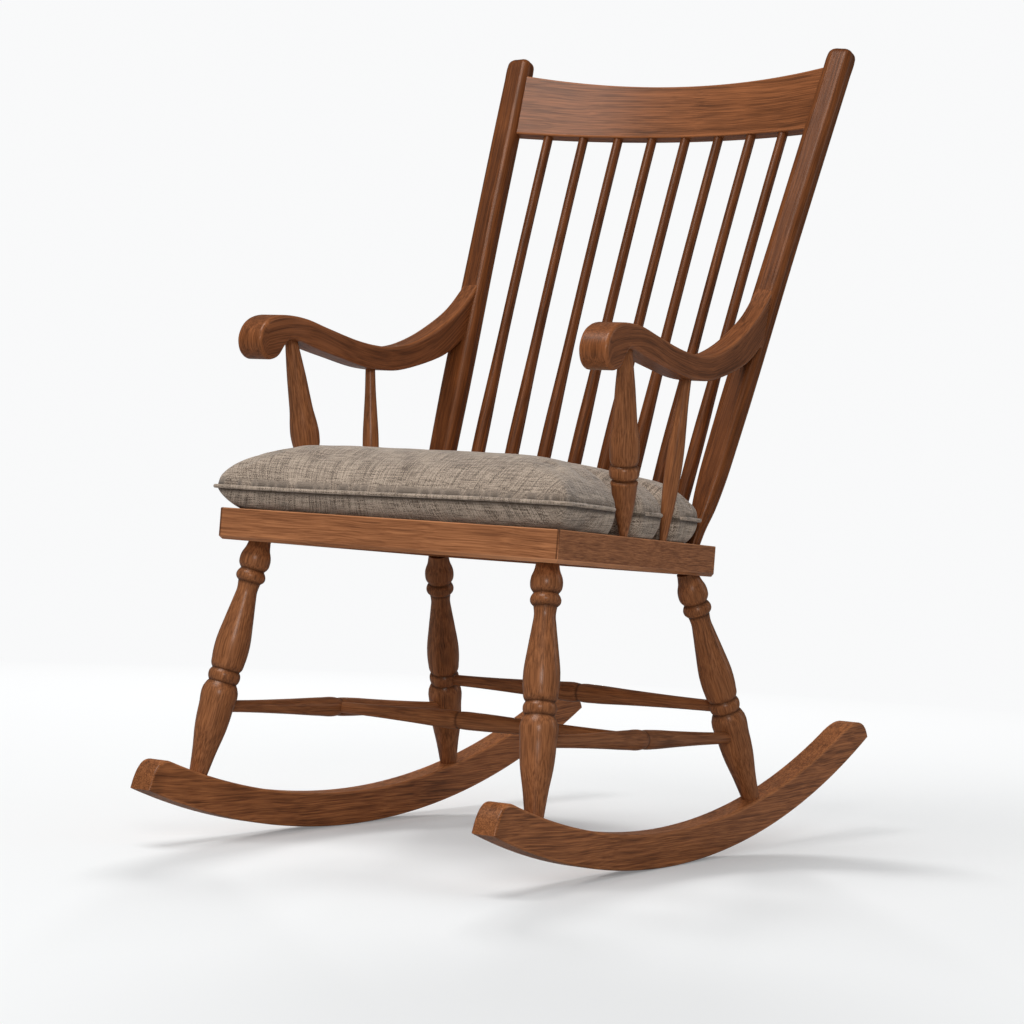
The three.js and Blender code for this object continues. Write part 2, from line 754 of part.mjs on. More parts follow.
// The screw that holds the arm to the stile, driven from behind under a plug
const screwBack = onStile(screwUp).add(
  point(0, stile.depth / 2 - stile.bend, 0).applyAxisAngle(point(1, 0, 0), -lean),
);
const screwFrame = alongAxis(
  screwBack,
  screwBack.clone().add(point(0, -1, 0).applyAxisAngle(point(1, 0, 0), -lean)),
);
const headStart = arm.plugDepth + gap;
const screwEnd = headStart + arm.screwHeadDepth + arm.screwLength;

function screwSolid(grow) {
  const outline = [
    [headStart - grow, arm.screwHeadRadius + grow],
    [headStart + arm.screwHeadDepth / 2, arm.screwHeadRadius + grow],
    [headStart + arm.screwHeadDepth, arm.screwRadius + grow],
    [screwEnd + grow, arm.screwRadius + grow],
  ];
  return solidOf(turned(outline, 8).applyMatrix4(screwFrame));
}

const plugSolid = peg(screwFrame, gap, arm.plugDepth - gap, arm.plugRadius, 10);
const plugHole = peg(screwFrame, -overrun, headStart + overrun, arm.plugRadius + gap, 10);
const screwWell = plugHole.add(screwSolid(gap));

// Seat frame pieces, in the seat's own frame

const railTop = (width) => [
  [seat.underChamfer, -seat.thickness],
  [width, -seat.thickness],
  [width, -seat.panelThickness],
  [width - seat.rabbet, -seat.panelThickness],
  [width - seat.rabbet, 0],
  [seat.ease, 0],
  [0, -seat.ease],
  [0, seat.underChamfer - seat.thickness],
];

// A length of rail: its outer lower arris is chamfered and its inner upper one is let in for the panel
function railSolid(from, to) {
  const inward = point(0, 0, 1).cross(to.clone().sub(from)).normalize();
  const along = to.clone().sub(from).normalize();
  const shape = new THREE.Shape(railTop(seat.railWidth).map(([u, v]) => new THREE.Vector2(u, v)));
  const geometry = extruded(shape, from.distanceTo(to));
  const basis = new THREE.Matrix4().makeBasis(inward, point(0, 0, 1), along).setPosition(from);
  return solidOf(geometry.applyMatrix4(basis));
}

const corner = point(seat.frontWidth / 2, 0, 0);
const sideAngle = Math.atan(sideSlope);
const mitreAngle = (90 * degree + sideAngle) / 2;
const innerCorner = point(
  seat.frontWidth / 2 - seat.railWidth / Math.tan(mitreAngle),
  seat.railWidth,
  0,
);
const backRailFront = seat.depth - seat.backRailDepth;

// A cutter that keeps one side of the upright plane through two points, less half the gap
function uprightCut(a, b, keepRight) {
  const along = b.clone().sub(a).normalize();
  const normal = point(along.y, -along.x, 0).multiplyScalar(keepRight ? -1 : 1);
  return halfSpace(a.clone().addScaledVector(normal, -gap / 2), normal);
}

function frontRailSolid() {
  const half = seat.frontWidth / 2;
  const blank = railSolid(point(-half, 0, 0), point(half, 0, 0));
  const cut = uprightCut(corner, innerCorner, false);
  return inSeat(blank.subtract(cut).subtract(mirrored(cut)));
}

function sideRailSolid() {
  const from = point(sideEdge(0), 0, 0);
  const to = point(sideEdge(backRailFront), backRailFront, 0);
  const overshoot = to.clone().sub(from).normalize().multiplyScalar(overrun);
  const blank = railSolid(from.clone().sub(overshoot), to.clone().add(overshoot));
  const backCut = halfSpace(point(0, backRailFront - gap, 0), point(0, 1, 0));
  return inSeat(blank.subtract(uprightCut(corner, innerCorner, true)).subtract(backCut));
}

function inSeat(solid) {
  return solidOf(geometryOf(solid).applyMatrix4(seatFrame));
}

function backRailSolid() {
  const shape = new THREE.Shape();
  const [frontHalf, backHalf] = [sideEdge(backRailFront), sideEdge(seat.depth)];
  shape.moveTo(-frontHalf, backRailFront);
  shape.lineTo(frontHalf, backRailFront);
  shape.lineTo(backHalf, seat.depth);
  for (let k = 1; k < crest.segments; k++) {
    const x = THREE.MathUtils.lerp(backHalf, -backHalf, k / crest.segments);
    shape.lineTo(x, seat.depth + seat.backBow * (1 - (x / backHalf) ** 2));
  }
  shape.lineTo(-backHalf, seat.depth);
  const geometry = extruded(shape, seat.thickness - 2 * seat.ease, {
    bevelEnabled: true,
    bevelThickness: seat.ease,
    bevelSize: seat.ease,
    bevelOffset: -seat.ease,
    bevelSegments: 1,
  }).translate(0, 0, seat.ease - seat.thickness);
  const letIn = panelBody(gap);
  return inSeat(solidOf(geometry).subtract(letIn));
}

// The panel's body; grown, it is the space that is let in for it
function panelBody(grow) {
  const inset = seat.railWidth - seat.rabbet + gap - grow;
  const front = inset;
  const back = backRailFront + seat.rabbet - gap + grow;
  const side = inset / Math.cos(sideAngle);
  const cut = back - seat.panelCorner;
  const half = [
    new THREE.Vector2(sideEdge(front) - side, front),
    new THREE.Vector2(sideEdge(cut) - side, cut),
    new THREE.Vector2(sideEdge(back) - side - seat.panelCorner, back),
  ];
  const otherHalf = half.map((p) => new THREE.Vector2(-p.x, p.y)).reverse();
  const shape = new THREE.Shape([...half, ...otherHalf]);
  const top = grow > 0 ? overrun : 0;
  const bottom = seat.panelThickness - gap + grow;
  const geometry = extruded(shape, bottom + top);
  return solidOf(geometry.translate(0, 0, -bottom));
}

function blockSolid() {
  const x = sideEdge(0) - seat.railWidth / Math.cos(sideAngle) - gap;
  const y = seat.railWidth + gap;
  const shape = new THREE.Shape([
    new THREE.Vector2(x - sideSlope * y, y),
    new THREE.Vector2(x - sideSlope * (y + seat.blockLeg), y + seat.blockLeg),
    new THREE.Vector2(x - sideSlope * y - seat.blockLeg, y),
  ]);
  const depth = seat.thickness - seat.panelThickness - 2 * gap;
  const geometry = extruded(shape, depth);
  return inSeat(solidOf(geometry.translate(0, 0, -seat.thickness)));
}

// A dowel between each side rail and the back rail
const dowelMiddle = onSeat(sideEdge(backRailFront) - seat.dowelInset, backRailFront, -seat.dowelDrop);
const seatBack = point(0, 1, 0).transformDirection(seatFrame);
const dowelFrame = alongAxis(dowelMiddle, dowelMiddle.clone().add(seatBack));
const dowel = (grow) =>
  peg(dowelFrame, -seat.dowelLength / 2 - grow, seat.dowelLength + 2 * grow, seat.dowelRadius + grow, 8);

// Cushion

const cushionBack = seat.depth - cushion.backSetback;
const cushionCorner = seat.frontWidth / 2 + cushion.cornerOverhang;
const cushionBackCorner = sideEdge(cushionBack) + cushion.rearOverhang;
const cushionSlope = (cushionCorner - cushionBackCorner) / (cushionBack + cushion.frontOverhang);
const cushionEdge = (y) => cushionCorner - cushionSlope * (y + cushion.frontOverhang);

// The pad's outline at its seam, in the seat's frame, from the middle of the front to that of the back
function cushionHalf() {
  const at = (x, y) => new THREE.Vector2(x, y);
  const [front, back] = [-cushion.frontOverhang, cushionBack];
  const r = cushion.cornerRadius;
  const cornerStart = at(cushionEdge(front) - r, front);
  const sideFront = at(cushionEdge(front + r), front + r);
  const sideBack = at(cushionEdge(back - r), back - r);
  const backCorner = at(cushionEdge(back) - r, back + cushion.backBow * cushion.backCornerShare);
  const backMiddle = at(0, back + cushion.backBow);
  const bend = (from, by, to) => new THREE.QuadraticBezierCurve(from, by, to);
  const runs = [
    [new THREE.LineCurve(at(0, front), cornerStart), cushion.frontSteps],
    [bend(cornerStart, at(cushionEdge(front), front), sideFront), cushion.cornerSteps],
    [new THREE.LineCurve(sideFront, sideBack), cushion.sideSteps],
    [bend(sideBack, at(cushionEdge(back), back), backCorner), cushion.cornerSteps],
    [bend(backCorner, at(backCorner.x / 2, backMiddle.y), backMiddle), cushion.backSteps],
  ];
  return runs.flatMap(([curve, steps], k) => curve.getPoints(steps).slice(k > 0 ? 1 : 0));
}

// How far the pad's side is let in at a place along it, round the two posts that stand there
function letIn(y) {
  return [frontPost, rearPost].reduce((sum, post) => {
    const upShare = cushion.seamHeight / arm.base;
    const middle = seat.depth * THREE.MathUtils.lerp(post.footShare, post.headShare, upShare);
    const postSide = sideEdge(seat.depth * post.footShare) - post.inset - post.radius;
    const depth = cushionEdge(middle) - postSide + cushion.notchClearance;
    return sum + depth / (1 + ((y - middle) / (post.radius + cushion.notchClearance)) ** 8);
  }, 0);
}

function cushionSolid() {
  const half = cushionHalf();
  const loop = [...half, ...half.slice(1, -1).reverse().map((p) => new THREE.Vector2(-p.x, p.y))];
  const middle = (cushionBack + cushion.backBow) / 2;
  // One ring of the pad: its size as a share of the outline, an even inset, and its height
  const ring = (share, inset, height) =>
    loop.map((p) => {
      const across = Math.abs(p.x);
      const edge = cushionEdge(p.y);
      const onSide = THREE.MathUtils.smoothstep(across, edge - cushion.notchFade, edge);
      const x = across * share - letIn(p.y) * onSide * share ** cushion.notchFadePower - inset;
      const y = middle + (p.y - middle) * share - Math.sign(p.y - middle) * inset;
      return point(Math.sign(p.x) * Math.max(x, 0), y, height);
    });
  const top = (share) => cushion.seamHeight + cushion.crown * Math.sqrt(1 - share ** cushion.crownPower);
  const rings = [
    ring(1, cushion.bottomInset, gap),
    ...skirtShares.map(([s, h]) => ring(1, cushion.bottomInset * s, cushion.seamHeight * h)),
    ring(1, 0, cushion.seamHeight),
    ...crownShares.map((share) => ring(share, 0, top(share))),
  ];
  const places = rings.flat();
  const bottomMiddle = places.push(point(0, middle, gap)) - 1;
  const topMiddle = places.push(point(0, middle, top(0))) - 1;
  const count = loop.length;
  const faces = [];
  for (let k = 0; k < count; k++) {
    const next = (k + 1) % count;
    faces.push(bottomMiddle, next, k);
    for (let level = 0; level + 1 < rings.length; level++) {
      const [a, b] = [level * count + k, level * count + next];
      faces.push(a, b, b + count, a, b + count, a + count);
    }
    const last = (rings.length - 1) * count;
    faces.push(last + k, last + next, topMiddle);
  }
  const geometry = new THREE.BufferGeometry().setFromPoints(places);
  geometry.setIndex(faces);
  return inSeat(solidOf(geometry));
}

// Assembly

const chair = new THREE.Group();
const pieces = new THREE.Group();
chair.add(pieces);
// The drawn chair turns back about the middle of the rockers' arc, and stands over the origin
pieces.rotation.x = -rocker.rest;
const turnedMiddle = point(0, contactY, rocker.radius).applyAxisAngle(point(1, 0, 0), -rocker.rest);
const [frontAngle, backAngle] = rockerAngles();
const frontEnd = rocker.radius * Math.sin(frontAngle - rocker.rest);
const backEndY = rocker.radius * Math.sin(backAngle - rocker.rest);
pieces.position.set(0, -turnedMiddle.y - (frontEnd + backEndY) / 2, rocker.radius - turnedMiddle.z);

function place(name, solid, frame, material = wood) {
  const geometry = geometryOf(solid).applyMatrix4(frame.clone().invert());
  geometry.computeVertexNormals();
  const mesh = new THREE.Mesh(geometry, material);
  mesh.name = name;
  mesh.applyMatrix4(frame);
  pieces.add(mesh);
}

// The left piece stands at +X, and the right one is its mirror image
function placePair(name, solid, frame, material = wood) {
  place(name + "_left", solid, frame, material);
  const flip = new THREE.Matrix4().makeScale(-1, 1, 1);
  const otherFrame = flip.clone().multiply(frame).multiply(flip);
  place(name + "_right", mirrored(solid), otherFrame, material);
}

const both = (solid) => solid.add(mirrored(solid));

const rockerSpace = rockerSolid(gap);
const frontPin = rockerPin(frontLeg);
const backPin = rockerPin(backLeg);
const sideFront = endPeg(sideStretcher, true, legSurface, gap);
const sideBack = endPeg(sideStretcher, false, legSurface, gap);
const backSocket = endPeg(backStretcher, false, legSurface, gap);
const medialSocket = endPeg(medialStretcher, false, sideSurface, gap);

placePair(
  "rocker",
  rockerSolid()
    .subtract(frontLeg.footPeg(gap))
    .subtract(backLeg.footPeg(gap))
    .subtract(frontPin.hole)
    .subtract(backPin.hole),
  rockerFrame,
);
placePair("rocker_pin_front", frontPin.solid, frontPin.frame);
placePair("rocker_pin_back", backPin.solid, backPin.frame);
placePair(
  "leg_front",
  finished(frontLeg, [aboveSeatBottom, rockerSpace]).subtract(frontPin.hole).subtract(sideFront),
  frontLeg.frame,
);
placePair(
  "leg_back",
  finished(backLeg, [aboveSeatBottom, rockerSpace])
    .subtract(backPin.hole)
    .subtract(sideBack)
    .subtract(backSocket),
  backLeg.frame,
);
placePair(
  "side_stretcher",
  sideStretcher
    .body()
    .subtract(frontLeg.body(gap))
    .subtract(backLeg.body(gap))
    .add(endPeg(sideStretcher, true, legSurface, 0))
    .add(endPeg(sideStretcher, false, legSurface, 0))
    .subtract(medialSocket),
  sideStretcher.frame,
);
place(
  "back_stretcher",
  backStretcher
    .body()
    .subtract(both(backLeg.body(gap)))
    .add(both(endPeg(backStretcher, false, legSurface, 0))),
  backStretcher.frame,
);
place(
  "medial_stretcher",
  medialStretcher
    .body()
    .subtract(both(sideStretcher.body(gap)))
    .add(both(endPeg(medialStretcher, false, sideSurface, 0))),
  medialStretcher.frame,
);

const postFeet = frontPostPart.footPeg(gap).add(rearPostPart.footPeg(gap));
place("seat_front_rail", frontRailSolid(), seatFrame);
placePair("seat_side_rail", sideRailSolid().subtract(postFeet).subtract(dowel(gap)), seatFrame);
const backSockets = backLeg.headPeg(gap).add(stilePeg(gap)).add(dowel(gap));
place(
  "seat_back_rail",
  spindles.reduce(
    (rail, part) => rail.subtract(part.footPeg(gap)),
    backRailSolid().subtract(both(backSockets)),
  ),
  seatFrame,
);
place("seat_panel", inSeat(panelBody(0)), seatFrame);
placePair("seat_corner_block", blockSolid().subtract(frontLeg.headPeg(gap)), seatFrame);
placePair("seat_dowel", dowel(0), dowelFrame);

const stileSpace = stileSolid(gap);
placePair(
  "stile",
  stileSolid()
    .subtract(belowSeatTop)
    .add(stilePeg(0))
    .subtract(tongue(gap))
    .subtract(screwWell),
  stileFrame,
);
place(
  "crest_rail",
  spindles.reduce(
    (rail, part) => rail.subtract(part.headPeg(gap)),
    crestBlank(0).subtract(both(stileSpace)).add(tongue(0)),
  ),
  crestFrame,
);
const crestSpace = crestBlank(gap);
spindles.forEach((part, k) => {
  const solid = part.body().subtract(belowSeatTop).subtract(crestSpace);
  place(`spindle_${k + 1}`, solid.add(part.footPeg(0)).add(part.headPeg(0)), part.frame);
});

const armSpace = armSolid(gap);
placePair(
  "arm",
  armSolid()
    .subtract(stileSpace)
    .subtract(frontPostPart.headPeg(gap))
    .subtract(rearPostPart.headPeg(gap))
    .subtract(screwSolid(gap)),
  armFrame,
);
placePair("arm_post_front", finished(frontPostPart, [belowSeatTop, armSpace]), frontPostPart.frame);
placePair("arm_post_rear", finished(rearPostPart, [belowSeatTop, armSpace]), rearPostPart.frame);
placePair("arm_screw", screwSolid(0), screwFrame, steel);
placePair("arm_screw_plug", plugSolid, screwFrame);

place("cushion", cushionSolid(), seatFrame, linen);

export default chair;
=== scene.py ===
# A rocking chair with a spindle back, scrolled arms, turned legs and a loose piped seat cushion.
# Pieces are drawn in millimetres: x to the sitter's left, y back from the seat's front edge,
# z up from the floor. The last step tips the drawing back to where the chair rests, in metres.
import math

import bmesh
import bpy
import numpy as np
from mathutils import Matrix, Vector, noise


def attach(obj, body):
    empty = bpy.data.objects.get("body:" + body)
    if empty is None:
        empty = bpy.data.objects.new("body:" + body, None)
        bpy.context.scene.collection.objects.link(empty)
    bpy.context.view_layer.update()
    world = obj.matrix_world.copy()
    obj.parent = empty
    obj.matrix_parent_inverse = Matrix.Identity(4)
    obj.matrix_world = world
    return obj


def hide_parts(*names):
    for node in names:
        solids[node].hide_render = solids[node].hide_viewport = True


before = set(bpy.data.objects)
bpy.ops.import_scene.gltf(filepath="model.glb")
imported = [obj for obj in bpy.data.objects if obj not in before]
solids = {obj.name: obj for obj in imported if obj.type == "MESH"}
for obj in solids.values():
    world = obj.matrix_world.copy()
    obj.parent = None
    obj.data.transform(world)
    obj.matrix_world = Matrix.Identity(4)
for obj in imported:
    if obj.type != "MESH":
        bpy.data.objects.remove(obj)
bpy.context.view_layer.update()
degree = math.pi / 180

# Seat
seat_height = 411
seat_slope = 1.6 * degree
seat_front_half = 250
seat_depth = 437
seat_thickness = 39.5
side_slope = 34 / seat_depth
back_bow = 22
rail_width = 23
rail_chamfer = 4
back_rail_depth = 52
panel_depth = 12
rabbet = 8

# Rockers
rocker_radius = 1243
rocker_depth = 44
rocker_width = 32.5
rocker_inner = rocker_radius - rocker_depth
contact_x = 243.4
contact_y = 268.01
toe_in = 0.96 * degree
front_foot_y = -14.5
back_foot_y = 530
nose_reach, tail_reach = 109.5, 317
front_angle = -math.asin((contact_y - front_foot_y + nose_reach) / rocker_radius)
back_angle = math.asin((back_foot_y - contact_y + tail_reach) / rocker_radius)
rest_angle = 1.2 * degree

# Stiles, crest and spindles
stile_spread, stile_lean, stile_rise = 50, 238, 668.5
stile_width, stile_depth = 37, 27
crest_rise = 557
crest_height = 91.5
crest_thickness = 18
crest_bow = 30.5
crest_arch_below, crest_arch_above = 4.4, 8.6
spindle_count = 8

# Arms, and their posts: inset at the foot, shares of the seat's depth at foot and head, radius
arm_height = 189.5
arm_rise = 137
arm_width = 39
arm_rear_width = 25
screw_above_tip = 87.5
front_post = (5, 0.405, 0.2838, 18.7)
rear_post = (4.7, 0.6568, 0.6613, 10.8)


def side_edge(y):
    return seat_front_half - side_slope * y


def turn_x(angle):
    return Matrix.Rotation(angle, 4, "X")


def turn_z(angle):
    return Matrix.Rotation(angle, 4, "Z")


def shift(x, y, z):
    return Matrix.Translation((x, y, z))


# The drawn chair tips back about the middle of the rockers' arc and stands over the origin
arc_middle = turn_x(-rest_angle) @ Vector((0, contact_y, rocker_radius))
front_end = rocker_radius * math.sin(front_angle - rest_angle)
back_end = rocker_radius * math.sin(back_angle - rest_angle)
stand = shift(0, -arc_middle.y - (front_end + back_end) / 2, rocker_radius - arc_middle.z)
to_frame = Matrix.Scale(0.001, 4) @ stand @ turn_x(-rest_angle)

seat_frame = shift(0, 0, seat_height) @ turn_x(-seat_slope)
rocker_frame = shift(contact_x, contact_y, 0) @ turn_z(toe_in)
mirror_x = Matrix.Scale(-1, 4, (1, 0, 0))


def on_seat(x, y, z=0.0):
    return seat_frame @ Vector((x, y, z))


def on_rocker(y):
    along = (y - contact_y) / math.cos(toe_in)
    top = rocker_radius - math.sqrt(rocker_inner**2 - along**2)
    return rocker_frame @ Vector((0, along, top))


def standing(foot, head):
    """The frame whose Z runs from one point to another, with its X level."""
    up = (head - foot).normalized()
    lies_across = abs(up.x) > abs(up.y) + abs(up.z)
    near = Vector((0, 1, 0)) if lies_across else Vector((1, 0, 0))
    side = (near - up * near.dot(up)).normalized()
    axes = Matrix((side, up.cross(side), up)).transposed().to_4x4()
    return Matrix.Translation(foot) @ axes


# Lines


def line_slopes(rows, crisp):
    steps = [b[0] - a[0] for a, b in zip(rows, rows[1:])]
    rises = [(b[1] - a[1]) / step for a, b, step in zip(rows, rows[1:], steps)]
    slopes = []
    for k in range(len(rows)):
        before = rises[max(k - 1, 0)]
        after = rises[min(k, len(rises) - 1)]
        if k in crisp or k in (0, len(rows) - 1):
            slopes.append((before, after))
            continue
        blend = (before * steps[k] + after * steps[k - 1]) / (steps[k - 1] + steps[k])
        slopes.append((blend, blend))
    return slopes


def drawn_line(rows, crisp=()):
    """Rows of place and value joined by a smooth line, which breaks only at the crisp rows."""
    cuts = 5
    slopes = line_slopes(rows, crisp)
    line = [tuple(rows[0][:2])]
    for k, (a, b) in enumerate(zip(rows, rows[1:])):
        step = b[0] - a[0]
        start, end = slopes[k][1] * step, slopes[k + 1][0] * step
        for cut in range(1, cuts + 1):
            t = cut / cuts
            value = (
                a[1] * (2 * t**3 - 3 * t**2 + 1)
                + start * (t**3 - 2 * t**2 + t)
                + b[1] * (3 * t**2 - 2 * t**3)
                + end * (t**3 - t**2)
            )
            line.append((a[0] + step * t, value))
    return line


def value_at(line, place):
    """The value at a place along a line, whose rows run upwards."""
    if place <= line[0][0]:
        return line[0][1]
    for a, b in zip(line, line[1:]):
        if place <= b[0]:
            return a[1] + (b[1] - a[1]) * (place - a[0]) / (b[0] - a[0])
    return line[-1][1]


def smooth_step(value, low, high):
    t = min(max((value - low) / (high - low), 0), 1)
    return t * t * (3 - 2 * t)


def flowing(points, cuts):
    """A smooth curve through flat points."""
    curve = []
    last = len(points) - 1
    for k in range(last):
        a, b = Vector(points[k]), Vector(points[k + 1])
        start = (b - Vector(points[max(k - 1, 0)])) / 2
        end = (Vector(points[min(k + 2, last)]) - a) / 2
        for cut in range(cuts):
            t = cut / cuts
            curve.append(
                a * (2 * t**3 - 3 * t**2 + 1)
                + start * (t**3 - 2 * t**2 + t)
                + b * (3 * t**2 - 2 * t**3)
                + end * (t**3 - t**2)
            )
    curve.append(Vector(points[-1]))
    return curve


# Mesh work


def all_parts(bm):
    return bm.verts[:] + bm.edges[:] + bm.faces[:]


def spun(rows, sides):
    """A turned shape on Z from rows of height and radius, closed at both ends."""
    bm = bmesh.new()
    rim = [bm.verts.new((radius, 0, height)) for height, radius in rows]
    ends = [bm.verts.new((0, 0, rows[0][0])), bm.verts.new((0, 0, rows[-1][0]))]
    chain = [ends[0], *rim, ends[1]]
    edges = [bm.edges.new(pair) for pair in zip(chain, chain[1:])]
    bmesh.ops.spin(
        bm,
        geom=chain + edges,
        cent=(0, 0, 0),
        axis=(0, 0, 1),
        angle=math.tau,
        steps=sides,
        use_merge=True,
    )
    bmesh.ops.remove_doubles(bm, verts=bm.verts[:], dist=0.002)
    bmesh.ops.recalc_face_normals(bm, faces=bm.faces[:])
    return bm


def slab(outline, thickness):
    """A flat outline given a thickness, as a list of corners and the way to push it."""
    bm = bmesh.new()
    face = bm.faces.new([bm.verts.new(corner) for corner in outline])
    made = bmesh.ops.extrude_face_region(bm, geom=[face])
    pushed = [v for v in made["geom"] if isinstance(v, bmesh.types.BMVert)]
    bmesh.ops.translate(bm, verts=pushed, vec=thickness)
    bmesh.ops.recalc_face_normals(bm, faces=bm.faces[:])
    return bm


def round_over(bm, edges, radius, rounds=3):
    """Rounds edges over and marks them for wear and a painted highlight along the arris, with a
    narrow border that keeps the flats flat.
    """
    border = 0.4
    wear_and_painted_light = bm.verts.layers.float.get("wear_and_painted_light") or bm.verts.layers.float.new("wear_and_painted_light")
    made = bmesh.ops.bevel(
        bm,
        geom=edges,
        offset=radius,
        offset_type="OFFSET",
        segments=rounds,
        profile=0.5,
        affect="EDGES",
        clamp_overlap=True,
        material=-1,
    )
    rounded = set(made["faces"])
    # The rounded edges are painted paler: partly wear, partly a painted highlight along the arris.
    for v in made["verts"]:
        v[wear_and_painted_light] = 1.0
    flats = [f for f in bm.faces if f not in rounded]
    bmesh.ops.inset_region(
        bm, faces=flats, thickness=border, use_boundary=True, use_even_offset=True
    )
    for f in flats:
        for v in f.verts:
            v[wear_and_painted_light] = 0.0


def sharp_edges(bm, limit):
    bm.normal_update()
    return [e for e in bm.edges if e.is_manifold and e.calc_face_angle(0) > limit * degree]


def rim_edges(bm, axis, place):
    """The edges of the flat side that lies at a place along an axis."""
    flat = [e for e in bm.edges if all(abs(v.co[axis] - place) < 0.01 for v in e.verts)]
    return [
        e for e in flat if len(e.link_faces) == 2 and any(len(f.verts) == 4 for f in e.link_faces)
    ]


def keep_side(bm, spot, normal):
    """Cuts off what lies in front of a plane and closes the cut."""
    cut = bmesh.ops.bisect_plane(
        bm, geom=all_parts(bm), plane_co=spot, plane_no=normal, dist=0.001, clear_outer=True
    )
    rim = [e for e in cut["geom_cut"] if isinstance(e, bmesh.types.BMEdge)]
    bmesh.ops.edgeloop_fill(bm, edges=rim)
    bmesh.ops.recalc_face_normals(bm, faces=bm.faces[:])


def sliced(bm, spot, normal, near=0.001):
    """Adds points where a plane crosses the piece, so that its form or grain can change there."""
    bmesh.ops.bisect_plane(bm, geom=all_parts(bm), plane_co=spot, plane_no=normal, dist=near)


def added(name, data):
    made = bpy.data.objects.new(name, data)
    bpy.context.scene.collection.objects.link(made)
    return made


crease_angle = 38 * degree
piece_count = 0


def wooden(name, bm, place, material, replaced, grain=None):
    """Puts a drawn shape in its place as a piece. Its grain stays with it and runs along its z."""
    global piece_count
    piece_count += 1
    start = Vector((0.17 * piece_count, 0.29 * piece_count, 0.41 * piece_count))
    if not bm.verts.layers.float.get("wear_and_painted_light"):
        bm.verts.layers.float.new("wear_and_painted_light")
    layer = bm.verts.layers.float_vector.new("grain")
    for v in bm.verts:
        local = grain(v.co) if grain else v.co
        v[layer] = Vector(local) * 0.001 + start
    whole = to_frame @ place
    bm.transform(whole)
    if whole.determinant() < 0:
        bmesh.ops.reverse_faces(bm, faces=bm.faces[:])
    mesh = bpy.data.meshes.new(name)
    bm.to_mesh(mesh)
    bm.free()
    mesh.shade_smooth()
    mesh.set_sharp_from_angle(angle=crease_angle)
    mesh.materials.append(material)
    piece = added(name, mesh)
    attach(piece, "chair")
    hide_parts(*replaced)


def wooden_pair(name, draw, place, material, replaced, **more):
    """The left piece stands at +X, and the right one is its mirror image."""
    wooden(name + "_left", draw(), place, material, [replaced + "_left"], **more)
    wooden(name + "_right", draw(), mirror_x @ place, material, [replaced + "_right"], **more)


# Materials


def new_material(name):
    material = bpy.data.materials.new(name)
    material.use_nodes = True
    tree = material.node_tree
    return material, tree, tree.nodes["Principled BSDF"]


def node(tree, kind, links=(), **settings):
    """A node with its settings, and its inputs given by name as values or as sockets to link."""
    made = tree.nodes.new(kind)
    for key, value in settings.items():
        setattr(made, key, value)
    for key, value in dict(links).items():
        if isinstance(value, bpy.types.NodeSocket):
            tree.links.new(value, made.inputs[key])
        else:
            made.inputs[key].default_value = value
    return made


def maths(tree, operation, a, b=0.5, c=0.5):
    return node(tree, "ShaderNodeMath", {0: a, 1: b, 2: c}, operation=operation).outputs[0]


def vector_maths(tree, operation, a, b):
    return node(tree, "ShaderNodeVectorMath", {0: a, 1: b}, operation=operation).outputs[0]


def mixed(tree, factor, a, b):
    """A colour between two colours."""
    return node(tree, "ShaderNodeMix", {0: factor, 6: a, 7: b}, data_type="RGBA").outputs[2]


def mixed_shader(tree, factor, a, b):
    return node(tree, "ShaderNodeMixShader", {0: factor, 1: a.outputs[0], 2: b.outputs[0]})


def add_bump(tree, shader, height, strength, distance):
    links = {"Height": height, "Strength": strength, "Distance": distance}
    bump = node(tree, "ShaderNodeBump", links)
    tree.links.new(bump.outputs["Normal"], shader.inputs["Normal"])


def new_group(name, takes, gives):
    tree = bpy.data.node_groups.new(name, "ShaderNodeTree")
    for label, kind in takes:
        tree.interface.new_socket(name=label, in_out="INPUT", socket_type="NodeSocket" + kind)
    for label, kind in gives:
        tree.interface.new_socket(name=label, in_out="OUTPUT", socket_type="NodeSocket" + kind)
    return tree, tree.nodes.new("NodeGroupInput"), tree.nodes.new("NodeGroupOutput")


def remapped(tree, value, low, high, to_low=0.0, to_high=1.0):
    links = {"Value": value, "From Min": low, "From Max": high, "To Min": to_low, "To Max": to_high}
    return node(tree, "ShaderNodeMapRange", links, clamp=True).outputs["Result"]


def even_noise(tree, place, scale, detail):
    links = {"Vector": place, "Scale": scale, "Detail": detail}
    return node(tree, "ShaderNodeTexNoise", links).outputs


def stretched_noise(tree, place, stretch, scale, detail, rough, bend=0.0):
    links = {
        "Vector": vector_maths(tree, "MULTIPLY", place, stretch),
        "Scale": scale,
        "Detail": detail,
        "Roughness": rough,
        "Distortion": bend,
    }
    return node(tree, "ShaderNodeTexNoise", links).outputs["Fac"]


def wandering(tree, place, scale, detail, reach):
    """The place moved a little sideways, one way here and another there."""
    sway = even_noise(tree, place, scale, detail)["Color"]
    swing = vector_maths(tree, "SUBTRACT", sway, (0.5, 0.5, 0.5))
    small = vector_maths(tree, "MULTIPLY", swing, (reach, reach, 0.0))
    return vector_maths(tree, "ADD", place, small)


